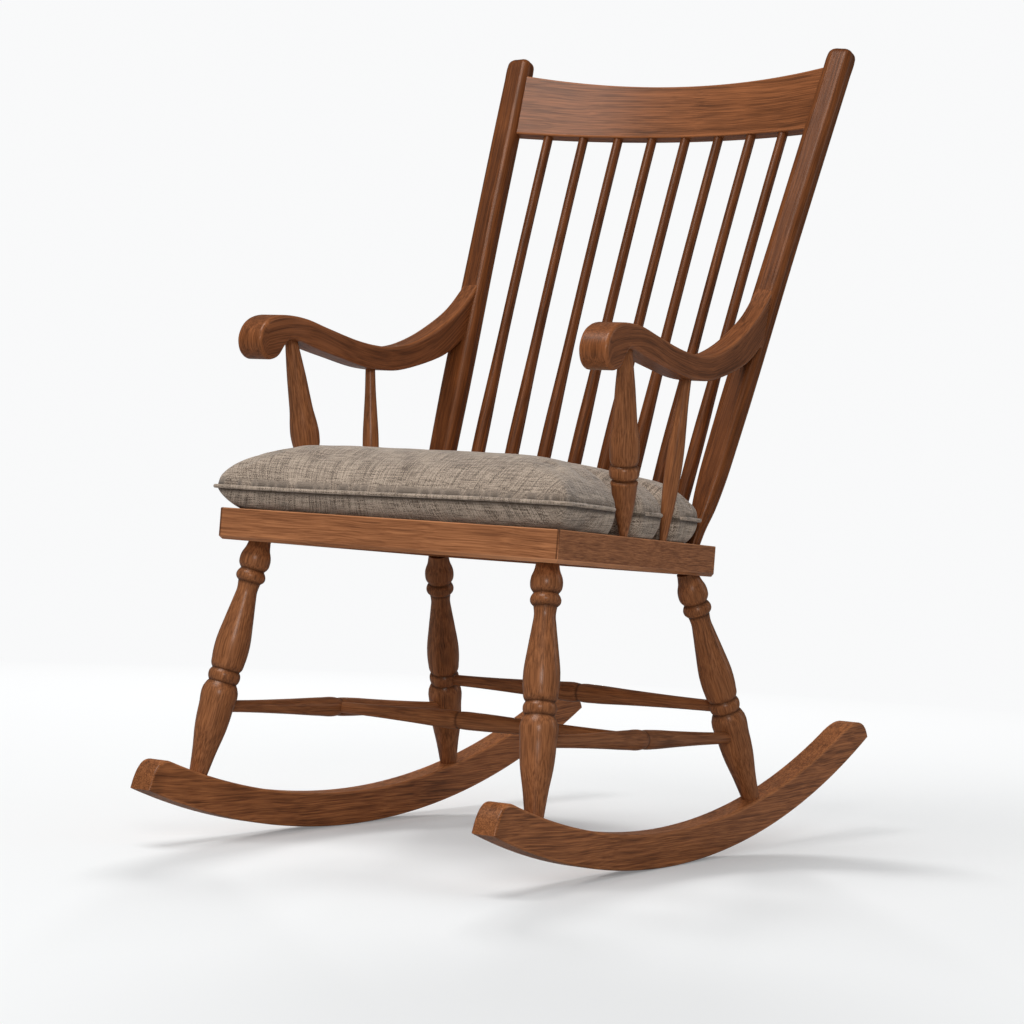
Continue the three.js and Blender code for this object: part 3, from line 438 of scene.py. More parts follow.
def stained_grain():
    """Brown stained wood: soft figure, fine fibres and short open pores along the grain's z."""
    tree, takes, gives = new_group(
        "stained_grain",
        [
            ("Place", "Vector"), ("Figure", "Float"), ("Fibre", "Float"), ("Pale", "Color"),
            ("Warm", "Color"), ("Deep", "Color"), ("Wear_and_painted_light", "Float"),
        ],
        [("Color", "Color"), ("Roughness", "Float"), ("Height", "Float")],
    )
    place, wear_and_painted_light, fibre = (takes.outputs[label] for label in ("Place", "Wear_and_painted_light", "Fibre"))
    pale, warm, deep = (takes.outputs[label] for label in ("Pale", "Warm", "Deep"))
    swayed = wandering(tree, place, 9.0, 1.0, 0.007)
    broad = stretched_noise(tree, swayed, (1.0, 1.0, 0.024), 60.0, 2.0, 0.45, 0.1)
    fibres = stretched_noise(tree, swayed, (1.0, 1.0, 0.019), 640.0, 3.0, 0.6)
    pores = stretched_noise(tree, swayed, (1.0, 1.0, 0.02), 1000.0, 2.0, 0.5)
    pores = remapped(tree, pores, 0.56, 0.68)
    rings = maths(tree, "SINE", maths(tree, "MULTIPLY", broad, 19.0))
    rings = remapped(tree, rings, -1.0, 1.0)
    clouds = even_noise(tree, place, 13.0, 2.0)["Fac"]
    figure = remapped(tree, broad, 0.34, 0.66)
    lines = maths(tree, "MULTIPLY", rings, takes.outputs["Figure"])
    tone = maths(tree, "MULTIPLY_ADD", figure, 0.16, maths(tree, "MULTIPLY", lines, 0.22))
    spread = maths(tree, "SUBTRACT", remapped(tree, fibres, 0.33, 0.67), 0.5)
    tone = maths(tree, "ADD", tone, maths(tree, "MULTIPLY_ADD", spread, fibre, 0.38))
    tone = maths(tree, "MULTIPLY_ADD", remapped(tree, clouds, 0.3, 0.7), 0.1, tone)
    low = mixed(tree, remapped(tree, tone, 0.12, 0.52), deep, warm)
    color = mixed(tree, remapped(tree, tone, 0.5, 0.98), low, pale)
    open_pores = maths(tree, "MULTIPLY", maths(tree, "MULTIPLY", pores, 0.5), fibre)
    color = mixed(tree, open_pores, color, deep)
    # Edges above zero are painted paler: partly wear, partly a painted highlight on the arris and
    # painted floor light on the rails' chamfer.
    # Below zero is dark stain, with painted shade in the turned grooves.
    paled_and_lit = maths(tree, "MULTIPLY", wear_and_painted_light, remapped(tree, clouds, 0.3, 0.7, 0.5, 1.0))
    paled_and_lit = maths(tree, "MAXIMUM", paled_and_lit, 0.0)
    bare_and_highlight = vector_maths(tree, "MULTIPLY", pale, (1.35, 1.45, 1.6))
    color = mixed(tree, maths(tree, "MULTIPLY", paled_and_lit, 0.8), color, bare_and_highlight)
    stain_and_painted_shade = maths(tree, "MAXIMUM", maths(tree, "MULTIPLY", wear_and_painted_light, -1.0), 0.0)
    color = mixed(tree, maths(tree, "MULTIPLY", stain_and_painted_shade, 0.75), color, deep)
    gloss = maths(tree, "MULTIPLY_ADD", fibres, -0.14, 0.44)
    gloss = maths(tree, "MULTIPLY_ADD", pores, 0.2, gloss)
    gloss = maths(tree, "MULTIPLY_ADD", paled_and_lit, -0.08, gloss)
    height = maths(tree, "MULTIPLY_ADD", fibres, 0.5, maths(tree, "MULTIPLY", pores, -0.9))
    tree.links.new(color, gives.inputs["Color"])
    tree.links.new(gloss, gives.inputs["Roughness"])
    tree.links.new(height, gives.inputs["Height"])
    return tree


wood_group = stained_grain()
pale_stain = (0.48, 0.188, 0.072, 1)
warm_stain = (0.24, 0.087, 0.032, 1)
deep_stain = (0.05, 0.017, 0.007, 1)


def stained_wood(
    name,
    figure=0.6,
    fibre=0.6,
    pale=pale_stain,
    warm=warm_stain,
    deep=deep_stain,
    turn=None,
    coat=0.22,
):
    """Stained wood under a semi-gloss lacquer. Pieces taken as they are have a turned grain."""
    material, tree, shader = new_material(name)
    if turn is None:
        place = node(tree, "ShaderNodeAttribute", attribute_name="grain").outputs["Vector"]
        wear_and_painted_light = node(tree, "ShaderNodeAttribute", attribute_name="wear_and_painted_light").outputs["Fac"]
    else:
        whole = node(tree, "ShaderNodeTexCoord").outputs["Object"]
        place = node(tree, "ShaderNodeMapping", {"Vector": whole, "Rotation": turn}).outputs[0]
        wear_and_painted_light = 0.0
    links = {
        "Place": place, "Wear_and_painted_light": wear_and_painted_light, "Figure": figure, "Fibre": fibre,
        "Pale": pale, "Warm": warm, "Deep": deep,
    }
    grain = node(tree, "ShaderNodeGroup", links, node_tree=wood_group).outputs
    tree.links.new(grain["Color"], shader.inputs["Base Color"])
    tree.links.new(grain["Roughness"], shader.inputs["Roughness"])
    add_bump(tree, shader, grain["Height"], 0.07, 0.0006)
    shader.inputs["Specular IOR Level"].default_value = 0.24
    shader.inputs["Specular Tint"].default_value = (1, 0.72, 0.55, 1)
    shader.inputs["Coat Weight"].default_value = coat
    shader.inputs["Coat Roughness"].default_value = 0.22
    return material


turned_wood = stained_wood("turned_wood", 0.4, 0.42)
board_wood = stained_wood(
    "board_wood", 0.9, 0.5,
    pale=(0.34, 0.116, 0.040, 1), warm=(0.165, 0.053, 0.017, 1), deep=(0.038, 0.012, 0.004, 1),
)
rail_wood = stained_wood(
    "rail_wood", 0.8, 0.45,
    pale=(0.55, 0.225, 0.092, 1), warm=(0.285, 0.106, 0.042, 1), deep=(0.08, 0.029, 0.013, 1),
)
rocker_wood = stained_wood(
    "rocker_wood", 0.9, 0.6,
    pale=(0.52, 0.192, 0.066, 1), warm=(0.26, 0.089, 0.030, 1), deep=(0.06, 0.020, 0.008, 1),
)
back_wood = stained_wood(
    "back_wood", 0.4, 0.4,
    pale=(0.27, 0.086, 0.025, 1), warm=(0.115, 0.033, 0.009, 1), deep=(0.02, 0.006, 0.0025, 1),
    coat=0.1,
)
long_wood = stained_wood("lengthwise_wood", 0.6, turn=(90 * degree, 0, 0))
cross_wood = stained_wood("crosswise_wood", 0.6, turn=(0, 90 * degree, 0))


def screw_steel():
    material, tree, shader = new_material("screw_steel")
    coordinates = node(tree, "ShaderNodeTexCoord").outputs["Object"]
    marks = even_noise(tree, coordinates, 900.0, 3.0)["Fac"]
    tree.links.new(remapped(tree, marks, 0.3, 0.7, 0.28, 0.5), shader.inputs["Roughness"])
    color = mixed(tree, marks, (0.3, 0.29, 0.27, 1), (0.5, 0.49, 0.47, 1))
    tree.links.new(color, shader.inputs["Base Color"])
    shader.inputs["Metallic"].default_value = 1.0
    return material


pale_yarn = (0.56, 0.445, 0.345, 1)
dark_yarn = (0.115, 0.083, 0.060, 1)
slub_yarn = (0.085, 0.06, 0.043, 1)
seam_shade = (0.07, 0.05, 0.036, 1)
yarn_pitch = 0.0031


def slub_weave():
    """Plain weave of uneven yarn: fine crossed threads with thick and thin places."""
    tree, takes, gives = new_group(
        "slub_weave",
        [("Place", "Vector"), ("Pitch", "Float"), ("Lift", "Float")],
        [("Color", "Color"), ("Height", "Float")],
    )
    place = takes.outputs["Place"]
    laid = wandering(tree, place, 50.0, 2.0, 0.0006)
    parts = node(tree, "ShaderNodeSeparateXYZ", {0: laid}).outputs
    turns = maths(tree, "DIVIDE", math.tau, takes.outputs["Pitch"])
    warp = maths(tree, "SINE", maths(tree, "MULTIPLY", parts["X"], turns))
    weft = maths(tree, "SINE", maths(tree, "MULTIPLY", parts["Y"], turns))
    crossing = maths(tree, "MULTIPLY", warp, weft)

    def yarn(stretch, scale):
        return stretched_noise(tree, laid, stretch, scale, 3.0, 0.6)

    across = yarn((0.08, 1.0, 1.0), 460.0)
    down = yarn((1.0, 0.06, 1.0), 430.0)
    slub_across = remapped(tree, yarn((0.08, 1.0, 1.0), 330.0), 0.6, 0.72)
    slub_down = remapped(tree, yarn((1.0, 0.03, 1.0), 330.0), 0.56, 0.68)
    clouds = even_noise(tree, place, 24.0, 3.0)["Fac"]
    fuzz = even_noise(tree, place, 640.0, 1.0)["Fac"]
    over = remapped(tree, crossing, -0.25, 0.25)
    tone = maths(tree, "MULTIPLY_ADD", over, maths(tree, "SUBTRACT", down, across), across)
    tone = maths(tree, "MULTIPLY_ADD", tone, 1.3, -0.14)
    tone = maths(tree, "MULTIPLY_ADD", maths(tree, "ABSOLUTE", crossing), 0.14, tone)
    tone = maths(tree, "MULTIPLY_ADD", maths(tree, "SUBTRACT", clouds, 0.5), 0.2, tone)
    tone = maths(tree, "MULTIPLY_ADD", maths(tree, "SUBTRACT", fuzz, 0.5), 0.5, tone)
    tone = maths(tree, "ADD", tone, takes.outputs["Lift"])
    color = mixed(tree, remapped(tree, tone, 0.4, 0.68), dark_yarn, pale_yarn)
    color = mixed(tree, maths(tree, "MULTIPLY", slub_across, 0.3), color, slub_yarn)
    color = mixed(tree, maths(tree, "MULTIPLY", slub_down, 0.4), color, slub_yarn)
    height = maths(tree, "MULTIPLY_ADD", maths(tree, "ABSOLUTE", crossing), 0.5, tone)
    slubs = maths(tree, "MAXIMUM", slub_across, slub_down)
    height = maths(tree, "MULTIPLY_ADD", slubs, 0.3, height)
    tree.links.new(color, gives.inputs["Color"])
    tree.links.new(height, gives.inputs["Height"])
    return tree


weave_group = slub_weave()


def woven_fabric(name, strength=0.55, lift=0.0):
    """The slub weave, with painted shade in the crease where the cloth goes in at its seam."""
    material, tree, shader = new_material(name)
    place = node(tree, "ShaderNodeAttribute", attribute_name="cloth").outputs["Vector"]
    tucked_shade = node(tree, "ShaderNodeAttribute", attribute_name="tucked_shade").outputs["Fac"]
    links = {"Place": place, "Pitch": yarn_pitch, "Lift": lift}
    weave = node(tree, "ShaderNodeGroup", links, node_tree=weave_group).outputs
    # Painted shade in the crease along the seam.
    color = mixed(tree, tucked_shade, weave["Color"], seam_shade)
    tree.links.new(color, shader.inputs["Base Color"])
    add_bump(tree, shader, weave["Height"], strength, 0.0011)
    shader.inputs["Roughness"].default_value = 0.92
    shader.inputs["Specular IOR Level"].default_value = 0.2
    shader.inputs["Sheen Weight"].default_value = 0.25
    shader.inputs["Sheen Roughness"].default_value = 0.45
    return material


# Rockers


def on_arc(angle, radius):
    return Vector((0, radius * math.sin(angle), rocker_radius - radius * math.cos(angle)))


def bent(start, middle, end, cuts):
    """A short curve from start towards middle and on to end, without its last point."""
    return [
        start * (1 - t) ** 2 + middle * 2 * t * (1 - t) + end * t * t
        for t in (cut / cuts for cut in range(cuts))
    ]


def across_board(outline, width, radius, rounds=3):
    """A board cut to an outline seen from the side, its rims rounded over."""
    bm = slab(outline, Vector((width, 0, 0)))
    bmesh.ops.translate(bm, verts=bm.verts[:], vec=(-width / 2, 0, 0))
    round_over(bm, rim_edges(bm, 0, -width / 2) + rim_edges(bm, 0, width / 2), radius, rounds)
    return bm


def rocker_shape():
    heel = 5
    steps, slices = 70, 48
    whole = back_angle - front_angle
    tail_angle = back_angle - 80 / rocker_inner
    nose_angle = front_angle + 26 / rocker_inner
    top = nose_angle - tail_angle
    heel_front = on_arc(front_angle, rocker_radius - heel)
    heel_back = on_arc(back_angle, rocker_radius - heel)
    outline = [on_arc(front_angle + whole * k / steps, rocker_radius) for k in range(steps + 1)]
    tail_corner, tail_end = on_arc(back_angle, rocker_inner), on_arc(tail_angle, rocker_inner)
    outline += bent(heel_back, tail_corner, tail_end, 12)
    outline += [on_arc(tail_angle + top * k / steps, rocker_inner) for k in range(steps)]
    nose_end, nose_corner = on_arc(nose_angle, rocker_inner), on_arc(front_angle, rocker_inner)
    outline += bent(nose_end, nose_corner, heel_front, 10)
    outline.append(heel_front)
    bm = across_board(outline, rocker_width, 2.8)
    # The end grain of the nose takes more stain, and elsewhere the edges' wear and painted
    # highlight are kept faint.
    wear_and_painted_light = bm.verts.layers.float["wear_and_painted_light"]
    nose = on_arc(front_angle + 7 / rocker_inner, rocker_inner).y
    for v in bm.verts:
        v[wear_and_painted_light] = -0.4 if v.co.y < nose else v[wear_and_painted_light] * 0.35
    for k in range(1, slices):
        angle = front_angle + whole * (k + 0.31) / slices
        sliced(bm, Vector((0, 0, rocker_radius)), Vector((0, math.cos(angle), math.sin(angle))))
    return bm


def rocker_grain(spot):
    radius = math.hypot(spot.y, rocker_radius - spot.z)
    angle = math.atan2(spot.y, rocker_radius - spot.z)
    # The plank is straighter than the rocker, so its figure runs out through the curve
    return (spot.x, radius - 0.35 * radius * (1 - math.cos(angle * 1.6)), angle * radius)


wooden_pair("bent_rocker", rocker_shape, rocker_frame, rocker_wood, "rocker", grain=rocker_grain)


# Turned pieces


def turned_shape(rows, crisp, length, radius, start, end, sides=48):
    """A turned piece between two joints, let into them a little, with dark stain and painted shade
    in its grooves.
    """
    heights = [(share * length, value * radius) for share, value in drawn_line(rows, crisp)]
    heights = [(start, heights[0][1]), *heights, (length + end, heights[-1][1])]
    bm = spun(heights, sides)
    wear_and_painted_light = bm.verts.layers.float.new("wear_and_painted_light")
    grooves = [rows[k][0] * length for k in crisp]
    groove_reach = 3.2
    # The grooves are painted dark: stain, and painted shade where light hardly reaches.
    for v in bm.verts:
        near = min((abs(v.co.z - groove) for groove in grooves), default=math.inf)
        v[wear_and_painted_light] = -max(0.0, 1 - near / groove_reach)
    return bm


leg_rows = [
    (0, 0.62), (0.03, 0.7), (0.06, 0.85), (0.084, 0.885), (0.106, 0.83), (0.122, 0.675),
    (0.135, 0.79), (0.15, 0.845), (0.165, 0.78), (0.175, 0.64), (0.207, 0.59), (0.25, 0.655),
    (0.33, 0.81), (0.46, 1), (0.51, 0.96), (0.545, 0.865), (0.553, 0.79),
    (0.565, 0.89), (0.58, 0.92), (0.597, 0.87), (0.606, 0.8), (0.617, 0.9),
    (0.72, 0.98), (0.8, 0.91), (0.9, 0.69), (1, 0.515),
]
leg_grooves = (5, 9, 16, 20)
leg_radius = 22


def add_turned_pair(name, draw, foot, head):
    wooden_pair("turned_" + name, draw, standing(foot, head), turned_wood, name)


def add_legs(name, inset, foot_y, head_y):
    foot = on_rocker(foot_y)
    head = on_seat(side_edge(head_y) - inset, head_y, -seat_thickness)
    # The rows run down from the seat, and the leg is drawn up from the rocker
    rows = [(1 - share, value) for share, value in reversed(leg_rows)]
    crisp = [len(rows) - 1 - k for k in leg_grooves]
    length = (head - foot).length
    add_turned_pair(
        name, lambda: turned_shape(rows, crisp, length, leg_radius, start=-14, end=3), foot, head
    )
    return foot, head


front_leg = add_legs("leg_front", 34, front_foot_y, 38)
back_leg = add_legs("leg_back", 24.7, back_foot_y, 408.5)


def down_leg(leg, share):
    foot, head = leg
    return head.lerp(foot, share)


stretcher_rows = [
    (0, 0), (0.3, 0.16), (0.62, 0.55), (0.86, 0.93), (0.97, 1), (1, 0.8),
    (1.02, 0.9), (1.1, 0.92), (1.34, 0.58), (1.66, 0.2), (2, 0),
]


def stretcher_shape(length, radius, ridge):
    """The rows run from 0 at one end, over the crisp ridge at 1, to 2 at the other end."""
    end_radius = 7.2
    rows = []
    for place, swell in stretcher_rows:
        share = place * ridge if place < 1 else ridge + (place - 1) * (1 - ridge)
        rows.append((share, end_radius + swell * (radius - end_radius)))
    return turned_shape(rows, (5,), length, 1, start=0, end=0, sides=36)


side_front, side_back = down_leg(front_leg, 0.7088), down_leg(back_leg, 0.7283)
side_length = (side_back - side_front).length
add_turned_pair(
    "side_stretcher", lambda: stretcher_shape(side_length, 12.6, 0.5), side_front, side_back
)


def add_cross_stretcher(name, end, radius, ridge):
    other = Vector((-end.x, end.y, end.z))
    shape = stretcher_shape((end - other).length, radius, ridge)
    wooden("turned_" + name, shape, standing(other, end), turned_wood, [name])


add_cross_stretcher("back_stretcher", down_leg(back_leg, 0.589), 13, 0.5)
add_cross_stretcher("medial_stretcher", side_front.lerp(side_back, 0.5), 12, 0.42)


# Stiles

stile_foot_y = seat_depth - 42
stile_foot = on_seat(side_edge(stile_foot_y) - 14.3, stile_foot_y)
stile_head = stile_foot + Vector((stile_spread, stile_lean, stile_rise))
stile_length = (stile_head - stile_foot).length
stile_frame = standing(stile_foot, stile_head)
stile_rows = [
    (0, 0.44, 0.6), (0.03, 0.52, 0.68), (0.07, 0.76, 0.88), (0.12, 0.92, 0.97), (0.2, 1, 1),
    (0.6, 0.98, 0.98), (0.95, 0.98, 0.97),
]
# The dome at the top: how far below the top, and how wide there
dome_rows = [
    (12, 0.975), (9, 0.955), (6.5, 0.91), (4.5, 0.84), (2.8, 0.74), (1.5, 0.62), (0.6, 0.48),
    (0.1, 0.34),
]
stile_rows += [(1 - down / stile_length, wide, wide - 0.01) for down, wide in dome_rows]
stile_widths = drawn_line([(s, w) for s, w, _ in stile_rows])
stile_depths = drawn_line([(s, d) for s, _, d in stile_rows])


def stile_shape():
    let_in_below = 4
    corners = [
        Vector((x * stile_width / 2, y * stile_depth / 2, -let_in_below))
        for x, y in ((-1, -1), (1, -1), (1, 1), (-1, 1))
    ]
    bm = slab(corners, Vector((0, 0, stile_length + let_in_below)))
    upright = [e for e in bm.edges if abs(e.verts[0].co.z - e.verts[1].co.z) > 1]
    round_over(bm, upright, 9.5, 6)
    wear_and_painted_light = bm.verts.layers.float["wear_and_painted_light"]
    # The edges' wear and painted highlight are kept faint here.
    for v in bm.verts:
        v[wear_and_painted_light] *= 0.2
    heights = {share * stile_length for share, _ in stile_widths}
    for height in sorted(h for h in heights if 0 < h < stile_length - 0.1):
        sliced(bm, Vector((0, 0, height)), Vector((0, 0, 1)), 0.0001)
    # The stile bows forward a little between its ends
    for v in bm.verts:
        share = max(v.co.z / stile_length, 0)
        v.co.x *= value_at(stile_widths, share)
        v.co.y = v.co.y * value_at(stile_depths, share) - 10 * share * (1 - share)
    bm.normal_update()
    upward = [f for f in bm.faces if f.normal.z > 0.9]
    top = [f for f in upward if f.calc_center_median().z > stile_length - 0.05]
    bmesh.ops.inset_region(bm, faces=top, thickness=2.5, depth=0.35)
    return bm


wooden_pair("shaped_stile", stile_shape, stile_frame, back_wood, "stile")


def on_stile(up):
    return stile_foot.lerp(stile_head, up / stile_rise)


# Crest rail

lean = math.atan2(stile_lean, stile_rise)
crest_start = on_stile(crest_rise)
crest_half = crest_start.x
crest_frame = shift(0, crest_start.y, crest_start.z) @ turn_x(-lean)
bow_radius = (crest_half**2 + crest_bow**2) / (2 * crest_bow)


def bow_at(x):
    return math.sqrt(bow_radius**2 - x**2) - bow_radius + crest_bow


def crest_underside(x):
    return crest_arch_below * (1 - (x / crest_half) ** 2)


def crest_shape():
    bm = bmesh.new()
    bmesh.ops.create_grid(bm, x_segments=72, y_segments=8, size=1)
    for v in bm.verts:
        x = v.co.x * crest_half
        low = crest_underside(x)
        high = crest_height - crest_arch_above * (1 - (x / crest_half) ** 2)
        up = low + (high - low) * (v.co.y + 1) / 2
        v.co = (x, bow_at(x) - crest_thickness / 2, up)
    bmesh.ops.recalc_face_normals(bm, faces=bm.faces[:])
    bmesh.ops.solidify(bm, geom=bm.faces[:], thickness=crest_thickness)
    middle_y = sum(v.co.y - bow_at(v.co.x) for v in bm.verts) / len(bm.verts)
    bmesh.ops.translate(bm, verts=bm.verts[:], vec=(0, -middle_y, 0))
    bmesh.ops.recalc_face_normals(bm, faces=bm.faces[:])
    long_edges = [e for e in sharp_edges(bm, 60) if abs(e.verts[0].co.x - e.verts[1].co.x) > 1]
    round_over(bm, long_edges, 2.0)
    return bm


wooden(
    "bowed_crest", crest_shape(), crest_frame, board_wood, ["crest_rail"],
    grain=lambda c: (c.z, c.y - bow_at(max(-crest_half, min(c.x, crest_half))), c.x),
)


# Spindles

spindle_rows = [
    (0.05, 0.4), (0.1, 0.8), (0.18, 1), (0.27, 0.9), (0.35, 0.58), (0.45, 0.26), (0.65, 0.08),
]
foot_spacing = 2 * (stile_foot.x - 42.6) / (spindle_count - 1)
head_spacing = 2 * (crest_half - 60.8) / (spindle_count - 1)


def add_spindle(number):
    place = (spindle_count + 1) / 2 - number
    x = place * foot_spacing
    foot = on_seat(x, seat_depth + back_bow - 23 - 35 * (x / stile_foot.x) ** 2)
    head_x = place * head_spacing
    head = crest_frame @ Vector((head_x, bow_at(head_x), crest_underside(head_x)))
    rows = [(0, 6.4), *((share, 6.6 + swell * 2.8) for share, swell in spindle_rows), (1, 6.6)]
    length = (head - foot).length
    bm = turned_shape(rows, (), length, 1, start=-3, end=4, sides=28)
    # Each spindle bends forward between its ends
    for v in bm.verts:
        share = min(max(v.co.z / length, 0), 1)
        v.co.y -= 16 * share * (1 - share)
    wooden(f"turned_spindle_{number}", bm, standing(foot, head), back_wood, [f"spindle_{number}"])


for number in range(1, spindle_count + 1):
    add_spindle(number)


# Arms

arm_tip = Vector((seat_front_half + 4, 41, seat_height + arm_height))
screw_up = arm_tip.z + screw_above_tip - stile_foot.z
arm_end = on_stile(screw_up) + Vector((3.4, 2, 0))
arm_length = math.hypot(arm_end.x - arm_tip.x, arm_end.y - arm_tip.y)
arm_turn = math.atan2(arm_tip.x - arm_end.x, arm_end.y - arm_tip.y)
arm_frame = Matrix.Translation(arm_tip) @ turn_z(arm_turn)
arm_top = [
    (1, 1), (0.92, 0.73), (0.824, 0.525), (0.728, 0.372), (0.634, 0.277), (0.545, 0.255),
    (0.436, 0.281), (0.3, 0.358), (0.207, 0.416), (0.131, 0.431), (0.065, 0.409), (0.02, 0.328),
]
arm_under = [
    (0, 0.19), (0.011, 0.06), (0.044, 0), (0.083, 0.036), (0.109, 0.139), (0.131, 0.204),
    (0.17, 0.208), (0.26, 0.146), (0.37, 0.088), (0.477, 0.036), (0.566, 0.026), (0.64, 0.044),
    (0.736, 0.117), (0.834, 0.219), (0.893, 0.314), (0.94, 0.42),
]
arm_middle = drawn_line([
    (0, 0.2), (0.1, 0.28), (0.2, 0.31), (0.4, 0.19), (0.55, 0.14), (0.65, 0.17), (0.8, 0.34),
    (1, 0.85),
])


def arm_shape():
    lap = Vector((0, 9, 0))
    taper_start = 90
    curve = flowing([(s * arm_length, r * arm_rise) for s, r in arm_top + arm_under], 7)
    outline = [Vector((0, p.x, p.y)) for p in curve]
    outline += [outline[-1] + lap, outline[0] + lap]
    bm = across_board(outline, arm_width, 4.2, 4)
    wear_and_painted_light = bm.verts.layers.float["wear_and_painted_light"]
    # The edges' wear and painted highlight are kept faint here.
    for v in bm.verts:
        v[wear_and_painted_light] *= 0.35
    for place in (1.5, 3, 5, 7.5, 10, 13, 17, *range(24, int(arm_length), 8)):
        sliced(bm, Vector((0, place, 0)), Vector((0, 1, 0)))
    for v in bm.verts:
        back = min(max((v.co.y - taper_start) / (arm_length - taper_start), 0), 1)
        v.co.x *= 1 + (arm_rear_width / arm_width - 1) * back
    return bm


def arm_grain(spot):
    """The fibres follow the arm, and at the scroll's tip they turn up and down round it."""
    depth = spot.z - value_at(arm_middle, spot.y / arm_length) * arm_rise
    return (spot.x, depth * (0.07 + 0.93 * smooth_step(spot.y, 1, 17)), spot.y)


wooden_pair("scrolled_arm", arm_shape, arm_frame, board_wood, "arm", grain=arm_grain)


def under_arm(y):
    along = (y - arm_tip.y) / math.cos(arm_turn)
    height = value_at(arm_under[6:], along / arm_length) * arm_rise
    return arm_frame @ Vector((0, along, height))


front_post_rows = [
    (0, 0.25), (0.06, 0.42), (0.13, 0.6), (0.2, 0.74), (0.27, 0.84), (0.3, 0.86), (0.308, 0.76),
    (0.322, 0.92), (0.35, 0.99), (0.378, 0.92), (0.388, 0.83), (0.4, 0.9), (0.44, 0.98),
    (0.475, 1), (0.53, 0.95), (0.6, 0.83), (0.7, 0.74), (0.8, 0.66), (0.9, 0.55), (1, 0.43),
]
rear_post_rows = [
    (0, 0.41), (0.08, 0.57), (0.2, 0.77), (0.35, 0.94), (0.47, 1), (0.56, 0.98), (0.7, 0.84),
    (0.85, 0.68), (1, 0.6),
]


def add_posts(name, rows, crisp, inset, foot_share, head_share, radius):
    foot_y = foot_share * seat_depth
    foot, head = on_seat(side_edge(foot_y) - inset, foot_y), under_arm(head_share * seat_depth)
    length = (head - foot).length
    add_turned_pair(
        name, lambda: turned_shape(rows, crisp, length, radius, start=-3, end=6), foot, head
    )


add_posts("arm_post_front", front_post_rows, (6, 10), *front_post)
add_posts("arm_post_rear", rear_post_rows, (), *rear_post)


# Seat frame

mitre_gap, butt_gap = 0.05, 0.1
rail_profile = [
    (rail_chamfer, -seat_thickness), (rail_width, -seat_thickness), (rail_width, -panel_depth),
    (rail_width - rabbet, -panel_depth), (rail_width - rabbet, 0), (0, 0),
    (0, rail_chamfer - seat_thickness),
]
side_angle = math.atan(side_slope)
mitre_angle = (90 * degree + side_angle) / 2
seat_corner = Vector((seat_front_half, 0, 0))
inner_corner = Vector((seat_front_half - rail_width / math.tan(mitre_angle), rail_width, 0))
mitre_along = (inner_corner - seat_corner).normalized()
mitre_normal = Vector((mitre_along.y, -mitre_along.x, 0))


def rail_blank(start, end):
    along = (end - start).normalized()
    inward = Vector((0, 0, 1)).cross(along)
    outline = [start + inward * across + Vector((0, 0, up)) for across, up in rail_profile]
    return slab(outline, end - start)


def from_mitre(spot):
    """How far a place lies from the plane of the nearer front mitre."""
    return abs(Vector((abs(spot.x), spot.y, 0)).dot(mitre_normal) - seat_corner.dot(mitre_normal))


def rail_rounded(bm, cuts, paled_and_lit, dark):
    """Rounds the rail's long edges. The chamfer is painted pale, a painted light reflected from the
    floor, and dark stain stays by the mitre.

    paled_and_lit gives how pale the chamfer is painted at a place, cuts are the places between
    which that changes, and dark is how far from the mitre the stain reaches.
    """
    chamfer_top = rail_chamfer - seat_thickness
    edges = [e for e in sharp_edges(bm, 30) if max(v.co.z for v in e.verts) > chamfer_top - 0.1]
    round_over(bm, [e for e in edges if e.calc_length() > 10], 1.2)
    for spot in cuts:
        sliced(bm, spot, spot.normalized())
    for side in (-1, 1):
        corner = Vector((side * seat_front_half, 0, 0))
        across = Vector((side * mitre_normal.x, mitre_normal.y, 0))
        for reach in (dark - 0.15, dark + 0.3, -dark + 0.15, -dark - 0.3):
            sliced(bm, corner + across * reach, across)
    wear_and_painted_light = bm.verts.layers.float["wear_and_painted_light"]
    for v in bm.verts:
        # The chamfer faces down to the floor and is painted paler, as painted floor light.
        if v.co.z < chamfer_top + 0.6:
            v[wear_and_painted_light] = paled_and_lit(v.co)
        elif from_mitre(v.co) < dark:
            v[wear_and_painted_light] = -1.0
        elif v.co.z < -3:
            v[wear_and_painted_light] = 0.0
    return bm


def front_rail_shape():
    bm = rail_blank(-seat_corner, seat_corner)
    keep_side(bm, seat_corner - mitre_normal * mitre_gap, mitre_normal)
    flipped = Vector((-mitre_normal.x, mitre_normal.y, 0))
    keep_side(bm, -seat_corner - flipped * mitre_gap, flipped)
    cuts = [Vector((x, 0, 0)) for x in (-180, 60, 110, 150, 185, 215)]
    # The chamfer's painted floor light grows towards the corner at +x.
    return rail_rounded(bm, cuts, lambda spot: 0.15 + smooth_step(spot.x, 60, 215), dark=2.3)


rear_half = side_edge(seat_depth)
across_rail = rail_width / math.cos(side_angle)


def back_bow_at(x):
    return seat_depth + back_bow * (1 - (x / rear_half) ** 2)


rear_inner = rear_half - across_rail
rear_end = Vector((rear_inner - rear_half, back_bow_at(rear_inner) - seat_depth, 0)).normalized()
rear_normal = Vector((rear_end.y, -rear_end.x, 0))


